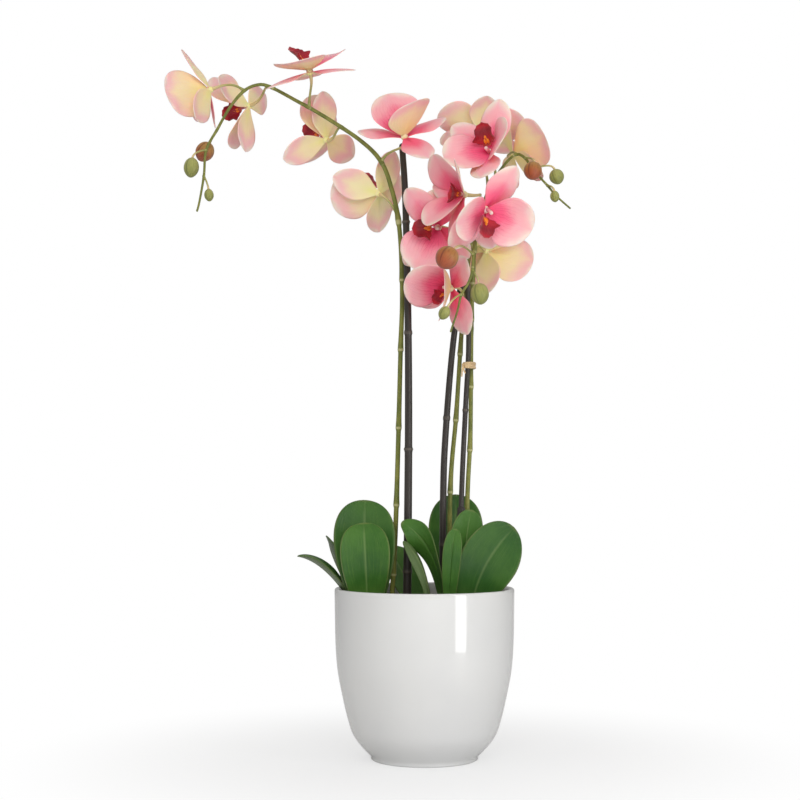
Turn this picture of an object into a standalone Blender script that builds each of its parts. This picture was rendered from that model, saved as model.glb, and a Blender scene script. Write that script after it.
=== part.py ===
"""Potted moth orchid: glazed pot, nursery liner, bark, leaves, canes, three flower spikes, flowers and buds.

Lengths in the tables are millimetres (x right, y away from the front, z up from the foot of the pot); the
meshes are made in metres.
"""
import math

import bmesh
import bpy
import numpy as np
from mathutils import Matrix

MM = 0.001

# ------------------------------------------------------------------ sizes
POT_SIDES = 40
POT_OUTER = [(49.5, 0.0), (50.5, 1.0), (50.5, 3.0), (62.9, 16.3), (68.5, 25.4), (77.7, 60.0), (82.3, 85.0),
             (84.3, 116.5), (85.0, 158.5), (84.0, 160.0)]
POT_INNER = [(81.5, 160.0), (80.5, 158.5), (79.8, 116.5), (77.6, 85.0), (67.0, 40.0), (50.0, 8.0)]
LINER_SIDES = 24
LINER_OUTER = [(47.0, 8.3), (48.5, 9.8), (60.0, 40.0), (72.0, 139.0), (74.5, 139.5), (74.5, 141.5)]
LINER_INNER = [(70.6, 141.5), (70.6, 139.0), (58.6, 40.0), (47.2, 11.5), (45.6, 10.3)]
BARK_SIDES = 24
BARK_PROFILE = [(45.2, 10.7), (46.9, 12.0), (58.2, 40.0), (69.0, 129.0)]
BARK_TOP = 130.0
BARK_RINGS = (52.0, 32.0, 12.0)
SOCKET_GAP = 0.4
SMALL_GAP = 0.35
FLAT = math.radians(0.3)   # faces flatter than this to each other are merged after a Boolean

STEM_SIDES = 6
SPIKE_STEP = 18.0
CANE_SIDES = 8
SHEET = 0.9             # thickness of petals, sepals and lips
LEAF_SHEET = 1.8

# ------------------------------------------------------------------ stems and canes: points, radius at foot and tip
SPIKES = {
    "spike_left": ([(-33, 2, 118), (-28, 4, 200), (-25, 5, 290), (-22.5, 5, 386), (-21, 4, 434), (-22, 3, 480),
                    (-25, 2, 513), (-31, 0, 540), (-41, -3, 566), (-61, -7, 586), (-97, -12, 609), (-121, -15, 622),
                    (-146, -17, 635), (-158, -18, 637), (-171, -19, 631), (-184, -21, 615), (-196, -23, 593),
                    (-206, -25, 573), (-208, -26, 548), (-212, -27, 523), (-214, -27, 515)], 2.4, 1.0),
    "spike_front": ([(38, 3, 118), (41, 4, 243), (44, 5, 305), (45, 6, 386), (46, 4, 440), (48, -4, 482),
                     (50, -16, 505), (50, -32, 507), (48, -46, 499), (46, -59, 484), (44, -68, 468), (43, -71, 453),
                     (39, -71, 441), (33, -70, 431), (29, -70, 415), (23, -72, 397)], 2.3, 0.9),
    "spike_rear": ([(24, 12, 118), (25, 14, 250), (31, 16, 325), (36, 17, 400), (41, 17, 460), (50, 14, 505),
                    (62, 9, 540), (76, 5, 563), (88, 1, 574), (97, -1, 570), (104, -2, 559), (118, -4, 543),
                    (126, -5, 533), (139, -6, 521)], 2.3, 0.9),
}
CANES = {
    "stake_left": ([(-17, -4, 45), (-16.5, -4, 130), (-15, -4, 300), (-15.5, -4, 420), (-18, -3, 530),
                    (-21, 1, 582)], 4.2, 3.0),
    "stake_middle": ([(14, 4, 45), (17, 4, 130), (18, 4, 243), (20, 4, 300), (27, 4, 386), (38, 5, 470),
                      (41, 5, 490)], 3.5, 2.8),
    "stake_right": ([(30, -6, 45), (33, -6, 130), (35, -6, 243), (39, -6, 330), (42, -6, 390), (41, -6, 456)], 2.7, 2.3),
}

# ------------------------------------------------------------------ flowers
# centre, facing, direction of the top sepal, spike and point the stalk leaves from, petal lean, sepal lean, turn of
# the petals, and petals that differ: extra turn, extra lean, size
FLOWERS = {
    "flower_a1": ((-44, 12, 538), (-.5, .8, .35), (.2, .45, -.85), "spike_left", (-25, 2, 513), 28, 22, 15, {}),
    "flower_a2": ((-19, -24, 586), (-.15, -.42, .9), (.85, .5, .1), "spike_left", (-40, -3, 564), 52, 10, 0,
                  {"side_r": (-35, -25, 1.0)}),
    "flower_a3": ((-95, 16, 592), (-.6, .65, .45), (.6, .75, -.25), "spike_left", (-75, -9, 594), 40, 8, -25, {}),
    "flower_a4": ((-108, -34, 646), (-.2, -.25, .95), (.85, -.5, .2), "spike_left", (-110, -14, 617), 12, -8, 0, {}),
    "flower_a5": ((-172, 28, 627), (-.85, .45, -.15), (0, .95, .35), "spike_left", (-145, -17, 634), 37, 5, 0, {}),
    "flower_a6": ((-205, -10, 634), (-.95, .2, -.3), (-.35, -.05, .95), "spike_left", (-175, -20, 627), 45, 18, 0, {}),
    "flower_r1": ((62, -28, 570), (-.4, -.8, .45), (-.1, -.5, -.85), "spike_rear", (70, 7, 553), 30, 24, 12,
                  {"side_l": (-38, -6, 1.12), "petal_l": (10, 16, .9)}),
    "flower_r2": ((57, 52, 606), (.1, .5, .86), (.1, -.85, .5), "spike_rear", (60, 9, 536), 10, 8, 0, {}),
    "flower_r3": ((88, 30, 580), (.85, .3, .45), (-.4, -.2, .9), "spike_rear", (92, 0, 573), 20, 2, 0,
                  {"petal_r": (0, 30, .85)}),
    "flower_r5": ((36, -52, 526), (-.9, -.4, .05), (-.4, .85, .3), "spike_rear", (56, 11, 522), 44, 36, 8,
                  {"side_l": (30, -25, .9), "top": (0, -6, .8)}),
    "flower_r6": ((54, -88, 506), (.3, -.72, -.62), (.55, -.3, .75), "spike_front", (51, -28, 507), 25, -4, 5,
                  {"side_l": (-38, 16, 1.0), "petal_l": (-34, 4, .9)}),
    "flower_r7": ((13, -22, 500), (-.4, -.9, -.2), (.9, -.4, -.1), "spike_front", (48, -5, 490), 26, 18, -30,
                  {"petal_l": (-35, -36, .8), "top": (38, -12, .9)}),
    "flower_r8": ((25, -18, 443), (-.7, -.7, -.25), (.25, -.5, .85), "spike_front", (45, 6, 412), 56, 8, 0,
                  {"top": (18, 4, .9)}),
    "flower_r9": ((60, 14, 482), (.45, .8, -.35), (0, -.35, -.93), "spike_front", (48, 0, 478), 30, 0, 0, {}),
}

# centre, radius, length, pointing, spike and point the stalk leaves from
BUDS = {
    "bud_left_1": ((-209, -12, 574), 8.8, 20, (-.5, .2, -.8), "spike_left", (-196, -23, 593)),
    "bud_left_2": ((-219, -32, 555), 7.2, 19, (-.1, 0, -1), "spike_left", (-207, -25, 570)),
    "bud_left_3": ((-203, -26, 530), 4.5, 12, (.1, 0, -1), "spike_left", (-208, -26, 548)),
    "bud_front_1": ((19, -96, 461), 10.5, 22, (-.6, -.4, -.8), "spike_front", (45, -66, 474)),
    "bud_front_2": ((50, -66, 432), 8.5, 20, (.1, -.1, -1), "spike_front", (44, -70, 453)),
    "bud_front_3": ((17, -80, 413), 5.2, 13, (-.5, 0, -.9), "spike_front", (33, -70, 431)),
    "bud_rear_1": ((103, -16, 555), 8.8, 18, (-.2, -.3, -1), "spike_rear", (100, -2, 565)),
    "bud_rear_2": ((127, -2, 552), 7.2, 15, (.3, 0, -1), "spike_rear", (106, -2, 557)),
    "bud_rear_3": ((124, -13, 531), 4.5, 11, (.1, 0, -1), "spike_rear", (119, -4, 541)),
}

# foot, middle, tip, width, the way the upper face looks, cross curl
LEAVES = {
    "leaf_left_front": ((-53, -15, 133), (-55, -34, 185), (-57, -30, 222), 48, (0, -1, .2), .5),
    "leaf_left_tall": ((-52, -8, 133), (-56, -16, 195), (-56, -8, 243), 60, (0, -1, .2), .5),
    "leaf_left_low": ((-61, -2, 133), (-90, -3, 175), (-120, -5, 190), 34, (.4, 0, 1), .5),
    "leaf_left_rear": ((-58, 8, 133), (-82, 18, 180), (-92, 28, 206), 40, (.4, .3, 1), .5),
    "leaf_right_front": ((42, -18, 134), (55, -29, 180), (83, -34, 218), 56, (.2, -1, .2), .5),
    "leaf_right_pointed": ((40, -11, 133), (38, -18, 190), (44, -18, 234), 34, (.1, -1, .2), .5),
    "leaf_right_small": ((22, -30, 133), (24, -44, 185), (28, -46, 217), 18, (0, -1, .2), .5),
    "leaf_right_arching": ((18, -14, 133), (8, -18, 190), (-22, -20, 222), 28, (-.7, -.3, .6), .5),
    "leaf_right_thin": ((5, -27, 133), (-2, -30, 175), (-20, -26, 205), 14, (-.8, .5, .3), .5),
    "leaf_right_rear": ((32, 24, 133), (31, 34, 200), (31, 36, 248), 54, (0, -1, .2), .4),
    "leaf_back": ((-6, 34, 133), (-20, 48, 170), (-38, 62, 196), 44, (.2, -.5, 1), .5),
}

# ------------------------------------------------------------------ petals, sepals and lips
PETAL = {"length": 45, "width": 50, "widest": 0.50, "foot": 0.12, "blunt": 0.50, "rise": 1.0, "curl": 0.30}
SEPAL = {"length": 47, "width": 30, "widest": 0.50, "foot": 0.16, "blunt": 0.62, "rise": 1.35, "curl": -0.25}
TEPALS = (("top", SEPAL, 0.7, 0.0), ("petal_r", PETAL, 80.0, 0.0), ("petal_l", PETAL, -80.6, 0.9),
          ("side_r", SEPAL, 129.0, -1.0), ("side_l", SEPAL, -127.0, 1.3))     # label, shape, angle, extra lean
TIP_HALF = 0.8          # half width left at the tip so that it is not a needle
LEAN_SPREAD = 9         # a tepal starts this much steeper than its lean and ends this much flatter
HUB_RADIUS = 4.2
PETAL_FORWARD = 1.5     # the petals start this far in front of the middle of the hub
SEPAL_BACK = -1.1
COLUMN = [(0.0, 0.6, 0.0), (0.0, 2.0, 5.0), (0.0, 2.6, 10.0)]
COLUMN_RADIUS = [2.4, 2.0, 2.3]
LIP_LENGTH = 24.0
LIP_AT = (0.0, 0.12, 0.35, 0.55, 0.75, 0.9, 1.0)
LIP_HALF = (2.5, 4.5, 10.5, 6.0, 7.5, 5.5, 1.5)
LIP_FALL = (-10, -15, -30, -45, -40, -10, 20)
LIP_CURL = (0.6, 1.2, 1.5, 0.9, 0.5, 0.3, 0.3)
LIP_START = (0.0, -5.0, 5.2)


def unit(v):
    """Return v as a unit vector."""
    v = np.asarray(v, float)
    return v / np.linalg.norm(v)


def smooth_path(points, step):
    """Return a curve through the points, sampled about every step millimetres."""
    p = np.asarray(points, float)
    p = np.vstack([2 * p[0] - p[1], p, 2 * p[-1] - p[-2]])
    out = []
    for i in range(1, len(p) - 2):
        count = max(1, int(round(np.linalg.norm(p[i + 1] - p[i]) / step)))
        t = np.linspace(0, 1, count, endpoint=False)[:, None]
        a, b, c, d = p[i - 1], p[i], p[i + 1], p[i + 2]
        out.append(0.5 * (2 * b + (c - a) * t + (2 * a - 5 * b + 4 * c - d) * t ** 2
                          + (3 * b - a - 3 * c + d) * t ** 3))
    out.append(p[-2][None])
    return np.vstack(out)


def bezier(p0, p1, p2, p3, count):
    """Return count + 1 points of a cubic curve."""
    t = np.linspace(0, 1, count + 1)[:, None]
    p0, p1, p2, p3 = (np.asarray(p, float) for p in (p0, p1, p2, p3))
    return (1 - t) ** 3 * p0 + 3 * (1 - t) ** 2 * t * p1 + 3 * (1 - t) * t ** 2 * p2 + t ** 3 * p3


def ring_solid(rows):
    """Return verts and faces of a closed solid from stacked rings of points, ends capped."""
    n, sides = len(rows), len(rows[0])
    verts = np.concatenate(rows)
    faces = []
    for i in range(n - 1):
        for j in range(sides):
            k = (j + 1) % sides
            a, b, c, d = i * sides + j, i * sides + k, (i + 1) * sides + k, (i + 1) * sides + j
            faces += [(a, b, c), (a, c, d)]
    faces += [(0, j + 1, j) for j in range(1, sides - 1)]
    last = (n - 1) * sides
    faces += [(last, last + j, last + j + 1) for j in range(1, sides - 1)]
    return verts, faces


def tube(path, radius, sides):
    """Return a closed tube along a path."""
    path = np.asarray(path, float)
    radius = np.broadcast_to(np.asarray(radius, float), (len(path),))
    tangent = np.gradient(path, axis=0)
    tangent /= np.linalg.norm(tangent, axis=1)[:, None]
    phase = np.linspace(0, 2 * np.pi, sides, endpoint=False)[:, None]
    side = unit(np.cross(tangent[0], (0.02, 1.0, 0.05)))
    rows = []
    for p, t, r in zip(path, tangent, radius):
        side = unit(side - t * np.dot(side, t))
        rows.append(p + r * (np.cos(phase) * side + np.sin(phase) * np.cross(t, side)))
    return ring_solid(rows)


def ellipsoid(centre, radius, length, pointing, rings, sides, point=0.0):
    """Return a closed egg shape; point above zero draws its far end out."""
    d = unit(pointing)
    a = unit(np.cross(d, (0.1, 1.0, 0.03)))
    b = np.cross(d, a)
    phase = np.linspace(0, 2 * np.pi, sides, endpoint=False)[:, None]
    rows = []
    for k in np.linspace(0.12, np.pi - 0.12, rings):
        along = -math.cos(k)
        r = radius * math.sin(k) * (1 - point * max(along, 0) ** 2)
        rows.append(np.asarray(centre, float) + d * along * length / 2 + r * (np.cos(phase) * a + np.sin(phase) * b))
    return ring_solid(rows)


def lathe(profile, sides):
    """Return a closed solid of revolution about z from a profile of (radius, height)."""
    phase = np.linspace(0, 2 * np.pi, sides, endpoint=False)
    rows = [np.stack([r * np.cos(phase), r * np.sin(phase), np.full(sides, float(z))], 1) for r, z in profile]
    return ring_solid(rows)


def sheet(grid, thickness):
    """Return a closed slab of even thickness about a grid of points (rows, columns, 3)."""
    du = np.gradient(grid, axis=0)
    dv = np.gradient(grid, axis=1)
    normal = np.cross(dv, du)
    normal /= np.linalg.norm(normal, axis=2)[:, :, None]
    nu, nv = grid.shape[0] - 1, grid.shape[1] - 1
    front = (grid + normal * thickness / 2).reshape(-1, 3)
    back = (grid - normal * thickness / 2).reshape(-1, 3)
    count = len(front)
    faces = []
    for i in range(nu):
        for j in range(nv):
            a = i * (nv + 1) + j
            b, c, d = a + 1, a + nv + 2, a + nv + 1
            faces += [(a, b, c), (a, c, d), (count + a, count + c, count + b), (count + a, count + d, count + c)]
    edge = ([j for j in range(nv + 1)] + [i * (nv + 1) + nv for i in range(1, nu + 1)]
            + [nu * (nv + 1) + j for j in range(nv - 1, -1, -1)] + [i * (nv + 1) for i in range(nu - 1, 0, -1)])
    for p, q in zip(edge, edge[1:] + edge[:1]):
        faces += [(p, count + q, q), (p, count + p, count + q)]
    return np.concatenate([front, back]), faces


def half_width(u, spec):
    """Return the half width of a blade at u from foot (0) to tip (1)."""
    widest = spec["widest"]
    rise = spec["foot"] + (1 - spec["foot"]) * np.sin(np.pi / 2 * np.clip(u / widest, 0, 1)) ** spec["rise"]
    fall = np.clip(1 - np.clip((u - widest) / (1 - widest), 0, 1) ** 2, 0, 1) ** spec["blunt"]
    return np.maximum(spec["width"] / 2 * np.where(u < widest, rise, fall), TIP_HALF)


def tepal(angle, spec, lean, is_petal, nu, nv):
    """Return the grid of a petal or sepal in the flower's own axes (right, top, facing)."""
    th = math.radians(angle)
    out_dir = np.array([math.sin(th), math.cos(th), 0.0])
    side = np.array([math.cos(th), -math.sin(th), 0.0])
    front = np.array([0.0, 0.0, 1.0])
    u = np.linspace(0, 1, nu + 1)
    a = np.radians(lean + LEAN_SPREAD * (1 - 2 * u))
    mid = np.zeros((nu + 1, 2))
    am = (a[1:] + a[:-1]) / 2
    mid[1:, 0] = np.cumsum(np.cos(am)) * spec["length"] / nu
    mid[1:, 1] = np.cumsum(np.sin(am)) * spec["length"] / nu
    half = half_width(u, spec)
    v = np.linspace(-1, 1, nv + 1)[:, None]
    rows = []
    for i in range(nu + 1):
        base = out_dir * (mid[i, 0] + 1.0) + front * (mid[i, 1] + (PETAL_FORWARD if is_petal else SEPAL_BACK))
        normal = -math.sin(a[i]) * out_dir + math.cos(a[i]) * front
        bend = spec["curl"] * half[i] / (spec["width"] / 2)
        rows.append(base + half[i] / bend * np.sin(bend * v) * side + half[i] / bend * (1 - np.cos(bend * v)) * normal)
    return np.stack(rows)


def lip_grid(size, nu, nv):
    """Return the grid of a lip: side lobes curling up beside the column, then a falling middle lobe."""
    u = np.linspace(0, 1, nu + 1)
    half = np.interp(u, LIP_AT, LIP_HALF) * size
    fall = np.radians(np.interp(u, LIP_AT, LIP_FALL))
    curl = np.interp(u, LIP_AT, LIP_CURL)
    step = LIP_LENGTH * size / nu
    fm = (fall[1:] + fall[:-1]) / 2
    y = np.concatenate([[0], np.cumsum(np.sin(fm))]) * step
    z = np.concatenate([[0], np.cumsum(np.cos(fm))]) * step
    v = np.linspace(-1, 1, nv + 1)[:, None]
    rows = []
    for i in range(nu + 1):
        base = np.array(LIP_START) + np.array([0, y[i], z[i]])
        normal = np.array([0, math.cos(fall[i]), -math.sin(fall[i])])
        arc = half[i] / curl[i]
        rows.append(base + arc * np.sin(curl[i] * v) * np.array([1.0, 0, 0]) + arc * (1 - np.cos(curl[i] * v)) * normal)
    return np.stack(rows)


def flower_axes(facing, top):
    """Return the 3 x 3 matrix whose columns are the flower's right, top and facing directions."""
    f = unit(facing)
    t = unit(np.asarray(top, float) - f * np.dot(top, f))
    return np.stack([np.cross(t, f), t, f], 1)


def leaf_grid(foot, middle, tip, width, face, curl, nu, nv):
    """Return the grid of a strap leaf on a curve through three points."""
    u = np.linspace(0, 1, nu + 1)
    p0, p1, p2 = (np.asarray(p, float) for p in (foot, middle, tip))
    pull = 2 * p1 - 0.5 * (p0 + p2)
    line = (1 - u)[:, None] ** 2 * p0 + 2 * ((1 - u) * u)[:, None] * pull + (u ** 2)[:, None] * p2
    tangent = np.gradient(line, axis=0)
    tangent /= np.linalg.norm(tangent, axis=1)[:, None]
    spec = {"width": width, "widest": 0.62, "foot": 0.34, "blunt": 0.5, "rise": 1.0}
    half = half_width(u, spec)
    v = np.linspace(-1, 1, nv + 1)[:, None]
    rows = []
    for i in range(nu + 1):
        n = unit(unit(face) - tangent[i] * np.dot(unit(face), tangent[i]))
        s = np.cross(tangent[i], n)
        bend = curl * half[i] / (width / 2)
        rows.append(line[i] + half[i] / bend * np.sin(bend * v) * s + half[i] / bend * (1 - np.cos(bend * v)) * n)
    return np.stack(rows)


# ------------------------------------------------------------------ scene helpers
def clear_scene():
    """Remove everything the session starts with."""
    for obj in list(bpy.data.objects):
        bpy.data.objects.remove(obj, do_unlink=True)


def raw_object(name, verts, faces):
    """Make an object from millimetre points, faces wound outward."""
    mesh = bpy.data.meshes.new(name)
    mesh.from_pydata([tuple(float(c) for c in v) for v in verts], [], [tuple(int(i) for i in f) for f in faces])
    mesh.update()
    volume = 0.0
    for poly in mesh.polygons:
        a, b, c = (mesh.vertices[i].co for i in poly.vertices)
        volume += a.dot(b.cross(c))
    if volume < 0:
        mesh.flip_normals()
    obj = bpy.data.objects.new(name, mesh)
    bpy.context.scene.collection.objects.link(obj)
    return obj


def combine(base, tools, operation):
    """Apply exact Booleans to base one tool at a time; the tools are removed."""
    for tool in tools:
        mod = base.modifiers.new("combine", "BOOLEAN")
        mod.operation = operation
        mod.solver = "EXACT"
        mod.object = tool
        graph = bpy.context.evaluated_depsgraph_get()
        result = bpy.data.meshes.new_from_object(base.evaluated_get(graph))
        base.modifiers.remove(mod)
        old = base.data
        base.data = result
        bpy.data.meshes.remove(old)
        bpy.data.objects.remove(tool, do_unlink=True)
    tidy_mesh(base.data)
    return base


def tidy_mesh(mesh):
    """Merge the flat splits a Boolean leaves."""
    bm = bmesh.new()
    bm.from_mesh(mesh)
    bmesh.ops.dissolve_limit(bm, angle_limit=FLAT, verts=bm.verts[:], edges=bm.edges[:])
    bmesh.ops.triangulate(bm, faces=bm.faces[:])
    bm.to_mesh(mesh)
    bm.free()


def finish_node(obj, colour, roughness):
    """Bring the node to metres, name its mesh and give it its own material."""
    obj.data.transform(Matrix.Scale(MM, 4))
    obj.data.name = obj.name
    material = bpy.data.materials.new(obj.name)
    material.use_nodes = True
    shader = material.node_tree.nodes["Principled BSDF"]
    shader.inputs["Base Color"].default_value = (*colour, 1.0)
    shader.inputs["Roughness"].default_value = roughness
    obj.data.materials.clear()
    obj.data.materials.append(material)
    return obj


# ------------------------------------------------------------------ colours
WHITE = (0.86, 0.86, 0.84)
LINER = (0.10, 0.10, 0.10)
BARK = (0.16, 0.09, 0.05)
CANE = (0.02, 0.02, 0.02)
STEM = (0.20, 0.24, 0.05)
TIE = (0.70, 0.52, 0.30)
PINK = (0.90, 0.35, 0.45)
CRIMSON = (0.30, 0.01, 0.03)
GREEN_BUD = (0.24, 0.24, 0.08)
BROWN_BUD = (0.30, 0.09, 0.03)
LEAF = (0.03, 0.11, 0.03)


def nearest(path, point):
    """Return the sample of a path nearest a point."""
    return path[int(np.argmin(np.linalg.norm(path - np.asarray(point, float), axis=1)))]


def build_pot():
    """Pot, liner and bark."""
    finish_node(raw_object("pot", *lathe(POT_OUTER + POT_INNER, POT_SIDES)), WHITE, 0.12)
    finish_node(raw_object("nursery_pot", *lathe(LINER_OUTER + LINER_INNER, LINER_SIDES)), LINER, 0.5)
    phase = np.linspace(0, 2 * np.pi, BARK_SIDES, endpoint=False)
    rows = [np.stack([r * np.cos(phase), r * np.sin(phase), np.full(BARK_SIDES, float(z))], 1)
            for r, z in BARK_PROFILE]
    for ring, radius in enumerate(BARK_RINGS):
        lump = BARK_TOP - 1.2 - 1.2 * np.sin(phase * (5 + 2 * ring) + ring)
        rows.append(np.stack([radius * np.cos(phase), radius * np.sin(phase), lump], 1))
    return raw_object("bark_medium", *ring_solid(rows))


def build_canes(bark):
    """Three canes and the sockets for them in the bark."""
    sockets = []
    for name, (points, foot, tip) in CANES.items():
        path = smooth_path(points, 60.0)
        radius = np.linspace(foot, tip, len(path))
        finish_node(raw_object(name, *tube(path, radius, CANE_SIDES)), CANE, 0.35)
        top = path[path[:, 2] < BARK_TOP + 20]
        low = [top[0] - (0, 0, SOCKET_GAP + 1.0)] + list(top)
        if low[-1][2] < BARK_TOP + 5:
            low.append(low[-1] + (low[-1] - low[-2]) * 0.3)
        sockets.append(raw_object("socket", *tube(low, foot + SOCKET_GAP + 0.3, CANE_SIDES)))
    return combine(bark, sockets, "DIFFERENCE")


def stalk_path(spike_path, leave_at, joint, back, lift, steps):
    """Return the curve of a stalk from the spike to the back of a flower or bud."""
    start = nearest(spike_path, leave_at)
    reach = np.linalg.norm(joint - start)
    return bezier(start, start + (joint - start) * 0.35 + np.array([0, 0, lift * reach]),
                  joint + back * reach * 0.35, joint, steps)


def all_stalks():
    """Return (label, spike, curve, radius) for every flower and bud stalk."""
    paths = {name: smooth_path(points, SPIKE_STEP) for name, (points, foot, tip) in SPIKES.items()}
    stalks = []
    for name, (centre, facing, top, spike, leave_at, *rest) in FLOWERS.items():
        facing = unit(facing)
        joint = np.asarray(centre, float) - facing * (HUB_RADIUS + SMALL_GAP)
        stalks.append(("stalk_" + name, spike, stalk_path(paths[spike], leave_at, joint, -facing, 0.25, 5), 1.3))
    for name, (centre, radius, length, pointing, spike, leave_at) in BUDS.items():
        pointing = unit(pointing)
        joint = np.asarray(centre, float) - pointing * (length / 2 + SMALL_GAP)
        stalks.append(("stalk_" + name, spike, stalk_path(paths[spike], leave_at, joint, -pointing, 0.15, 4), 0.9))
    return stalks


def build_spikes(bark):
    """Three stems, each joined with its flower and bud stalks."""
    sockets = []
    stalks = all_stalks()
    for name, (points, foot, tip) in SPIKES.items():
        path = smooth_path(points, SPIKE_STEP)
        radius = np.interp(np.linspace(0, 1, len(path)), (0, 0.6, 1), (foot, foot * 0.9, tip))
        stem = raw_object(name, *tube(path, radius, STEM_SIDES))
        parts = [raw_object(label, *tube(line, thick, STEM_SIDES)) for label, spike, line, thick in stalks
                 if spike == name]
        finish_node(combine(stem, parts, "UNION"), STEM, 0.5)
        low = [path[0] - (0, 0, SOCKET_GAP + 1.0), path[0], path[1], path[2]]
        sockets.append(raw_object("socket", *tube(low, foot + SOCKET_GAP + 0.3, STEM_SIDES)))
    finish_node(combine(bark, sockets, "DIFFERENCE"), BARK, 0.9)


def build_tie():
    """A flat band of raffia round the right cane and the front stem, with a loose end."""
    centre = np.array([43.0, -0.2, 371.0])
    along = unit((3.6, 11.6, 0.0))
    across = np.array([along[1], -along[0], 0.0])
    phase = np.linspace(0, 2 * np.pi, 20, endpoint=False)
    rows = []
    for k in phase:
        spoke = along * 10.2 * math.cos(k) + across * 4.8 * math.sin(k)
        out = unit(spoke)
        rows.append(np.stack([centre + spoke + out * a + np.array([0, 0, b])
                              for a, b in ((0, -3), (0.9, -3), (0.9, 3), (0, 3))]))
    verts = np.concatenate(rows)
    faces = []
    for i in range(len(phase)):
        n = (i + 1) % len(phase)
        for j in range(4):
            k = (j + 1) % 4
            a, b, c, d = i * 4 + j, i * 4 + k, n * 4 + k, n * 4 + j
            faces += [(a, b, c), (a, c, d)]
    band = raw_object("tie", verts, faces)
    start = centre - along * 8.0 - across * 3.2 + np.array([0, 0, -1.0])
    tail = tube([start, start - along * 3 - across * 2 + (0, 0, -3.0), start - along * 4 - across * 1 + (0, 0, -9.0)],
                (0.8, 0.9, 0.5), 6)
    return finish_node(combine(band, [raw_object("tail", *tail)], "UNION"), TIE, 0.8)


def lip_size(petal_lean):
    """Lips are a little smaller in flowers whose petals stand forward."""
    return 1.0 if petal_lean < 36 else 0.85 if petal_lean < 50 else 0.72


def flower_pieces(name):
    """Return the closed pieces of one flower as (label, verts, faces); the hub comes first and the lip last."""
    centre, facing, top, spike, leave_at, petal_lean, sepal_lean, turn, tweaks = FLOWERS[name]
    axes = flower_axes(facing, top)
    pieces = [("hub", *ellipsoid((0, 0, 0), HUB_RADIUS, 2 * HUB_RADIUS, (0.05, 0.03, 1), 5, 7))]
    for label, spec, angle, droop in TEPALS:
        is_petal = spec is PETAL
        extra_turn, extra_lean, size = tweaks.get(label, (0, 0, 1.0))
        spec = dict(spec, length=spec["length"] * size, width=spec["width"] * size)
        grid = tepal(angle + extra_turn - (turn if is_petal else 0), spec,
                     (petal_lean if is_petal else sepal_lean) + extra_lean + droop, is_petal,
                     4 if is_petal else 3, 4 if is_petal else 2)
        pieces.append((label, *sheet(grid, SHEET)))
    pieces.append(("column", *tube(COLUMN, COLUMN_RADIUS, 5)))
    pieces.append(("lip", *sheet(lip_grid(lip_size(petal_lean), 5, 4), SHEET)))
    centre = np.asarray(centre, float)
    return [(label, verts @ axes.T + centre, faces) for label, verts, faces in pieces]


def build_flowers():
    """Each flower: petals, sepals and column in one node, the lip in another."""
    for name in FLOWERS:
        pieces = flower_pieces(name)
        hub = raw_object(name, *pieces[0][1:])
        parts = [raw_object(label, verts, faces) for label, verts, faces in pieces[1:-1]]
        finish_node(combine(hub, parts, "UNION"), PINK, 0.45)
        finish_node(raw_object("lip_" + name.split("_")[1], *pieces[-1][1:]), CRIMSON, 0.45)


def build_buds():
    """Nine buds."""
    for name, (centre, radius, length, pointing, spike, leave_at) in BUDS.items():
        bud = raw_object(name, *ellipsoid(centre, radius, length, pointing, 7, 8, 0.15))
        finish_node(bud, BROWN_BUD if name.endswith("1") else GREEN_BUD, 0.45)


def build_leaves():
    """Strap leaves, thick and slightly channelled."""
    for name, (foot, middle, tip, width, face, curl) in LEAVES.items():
        grid = leaf_grid(foot, middle, tip, width, face, curl, 6, 2)
        finish_node(raw_object(name, *sheet(grid, LEAF_SHEET)), LEAF, 0.4)


def main():
    """Build every node."""
    clear_scene()
    bark = build_canes(build_pot())
    build_spikes(bark)
    build_tie()
    build_leaves()
    build_flowers()
    build_buds()


main()
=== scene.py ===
"""Potted moth orchid with three flower sprays: the finished look of every piece, as a Blender add-on.

Lengths in the tables are millimetres (x right, y away from the front, z up from the foot of the pot), except
on the stage. Meshes are made in metres, in place, and each piece stands in for the plain solid of its name.
"""
import math

import bpy
import numpy as np
from mathutils import Euler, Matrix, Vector


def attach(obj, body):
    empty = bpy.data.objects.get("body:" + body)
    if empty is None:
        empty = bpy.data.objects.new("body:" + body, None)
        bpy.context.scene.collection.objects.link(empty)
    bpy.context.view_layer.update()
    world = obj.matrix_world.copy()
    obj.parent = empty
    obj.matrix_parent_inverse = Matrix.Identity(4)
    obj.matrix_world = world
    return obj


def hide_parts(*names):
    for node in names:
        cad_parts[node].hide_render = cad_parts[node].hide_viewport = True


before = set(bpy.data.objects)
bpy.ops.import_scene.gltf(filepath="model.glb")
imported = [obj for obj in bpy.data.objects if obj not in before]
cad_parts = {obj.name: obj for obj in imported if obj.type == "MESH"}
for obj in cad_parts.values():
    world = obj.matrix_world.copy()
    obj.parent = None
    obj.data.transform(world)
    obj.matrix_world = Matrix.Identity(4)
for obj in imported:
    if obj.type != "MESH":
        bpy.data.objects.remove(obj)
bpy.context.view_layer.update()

bl_info = {
    "name": "Potted Moth Orchid",
    "version": (1, 0, 0),
    "blender": (4, 5, 0),
    "location": "3D View > Sidebar > Orchid",
    "description": "Builds a potted moth orchid: pot, bark, canes, stems, leaves, flowers and buds",
    "category": "Add Mesh",
}

MM = 0.001
BODY = "root"
SEED = 7

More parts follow.
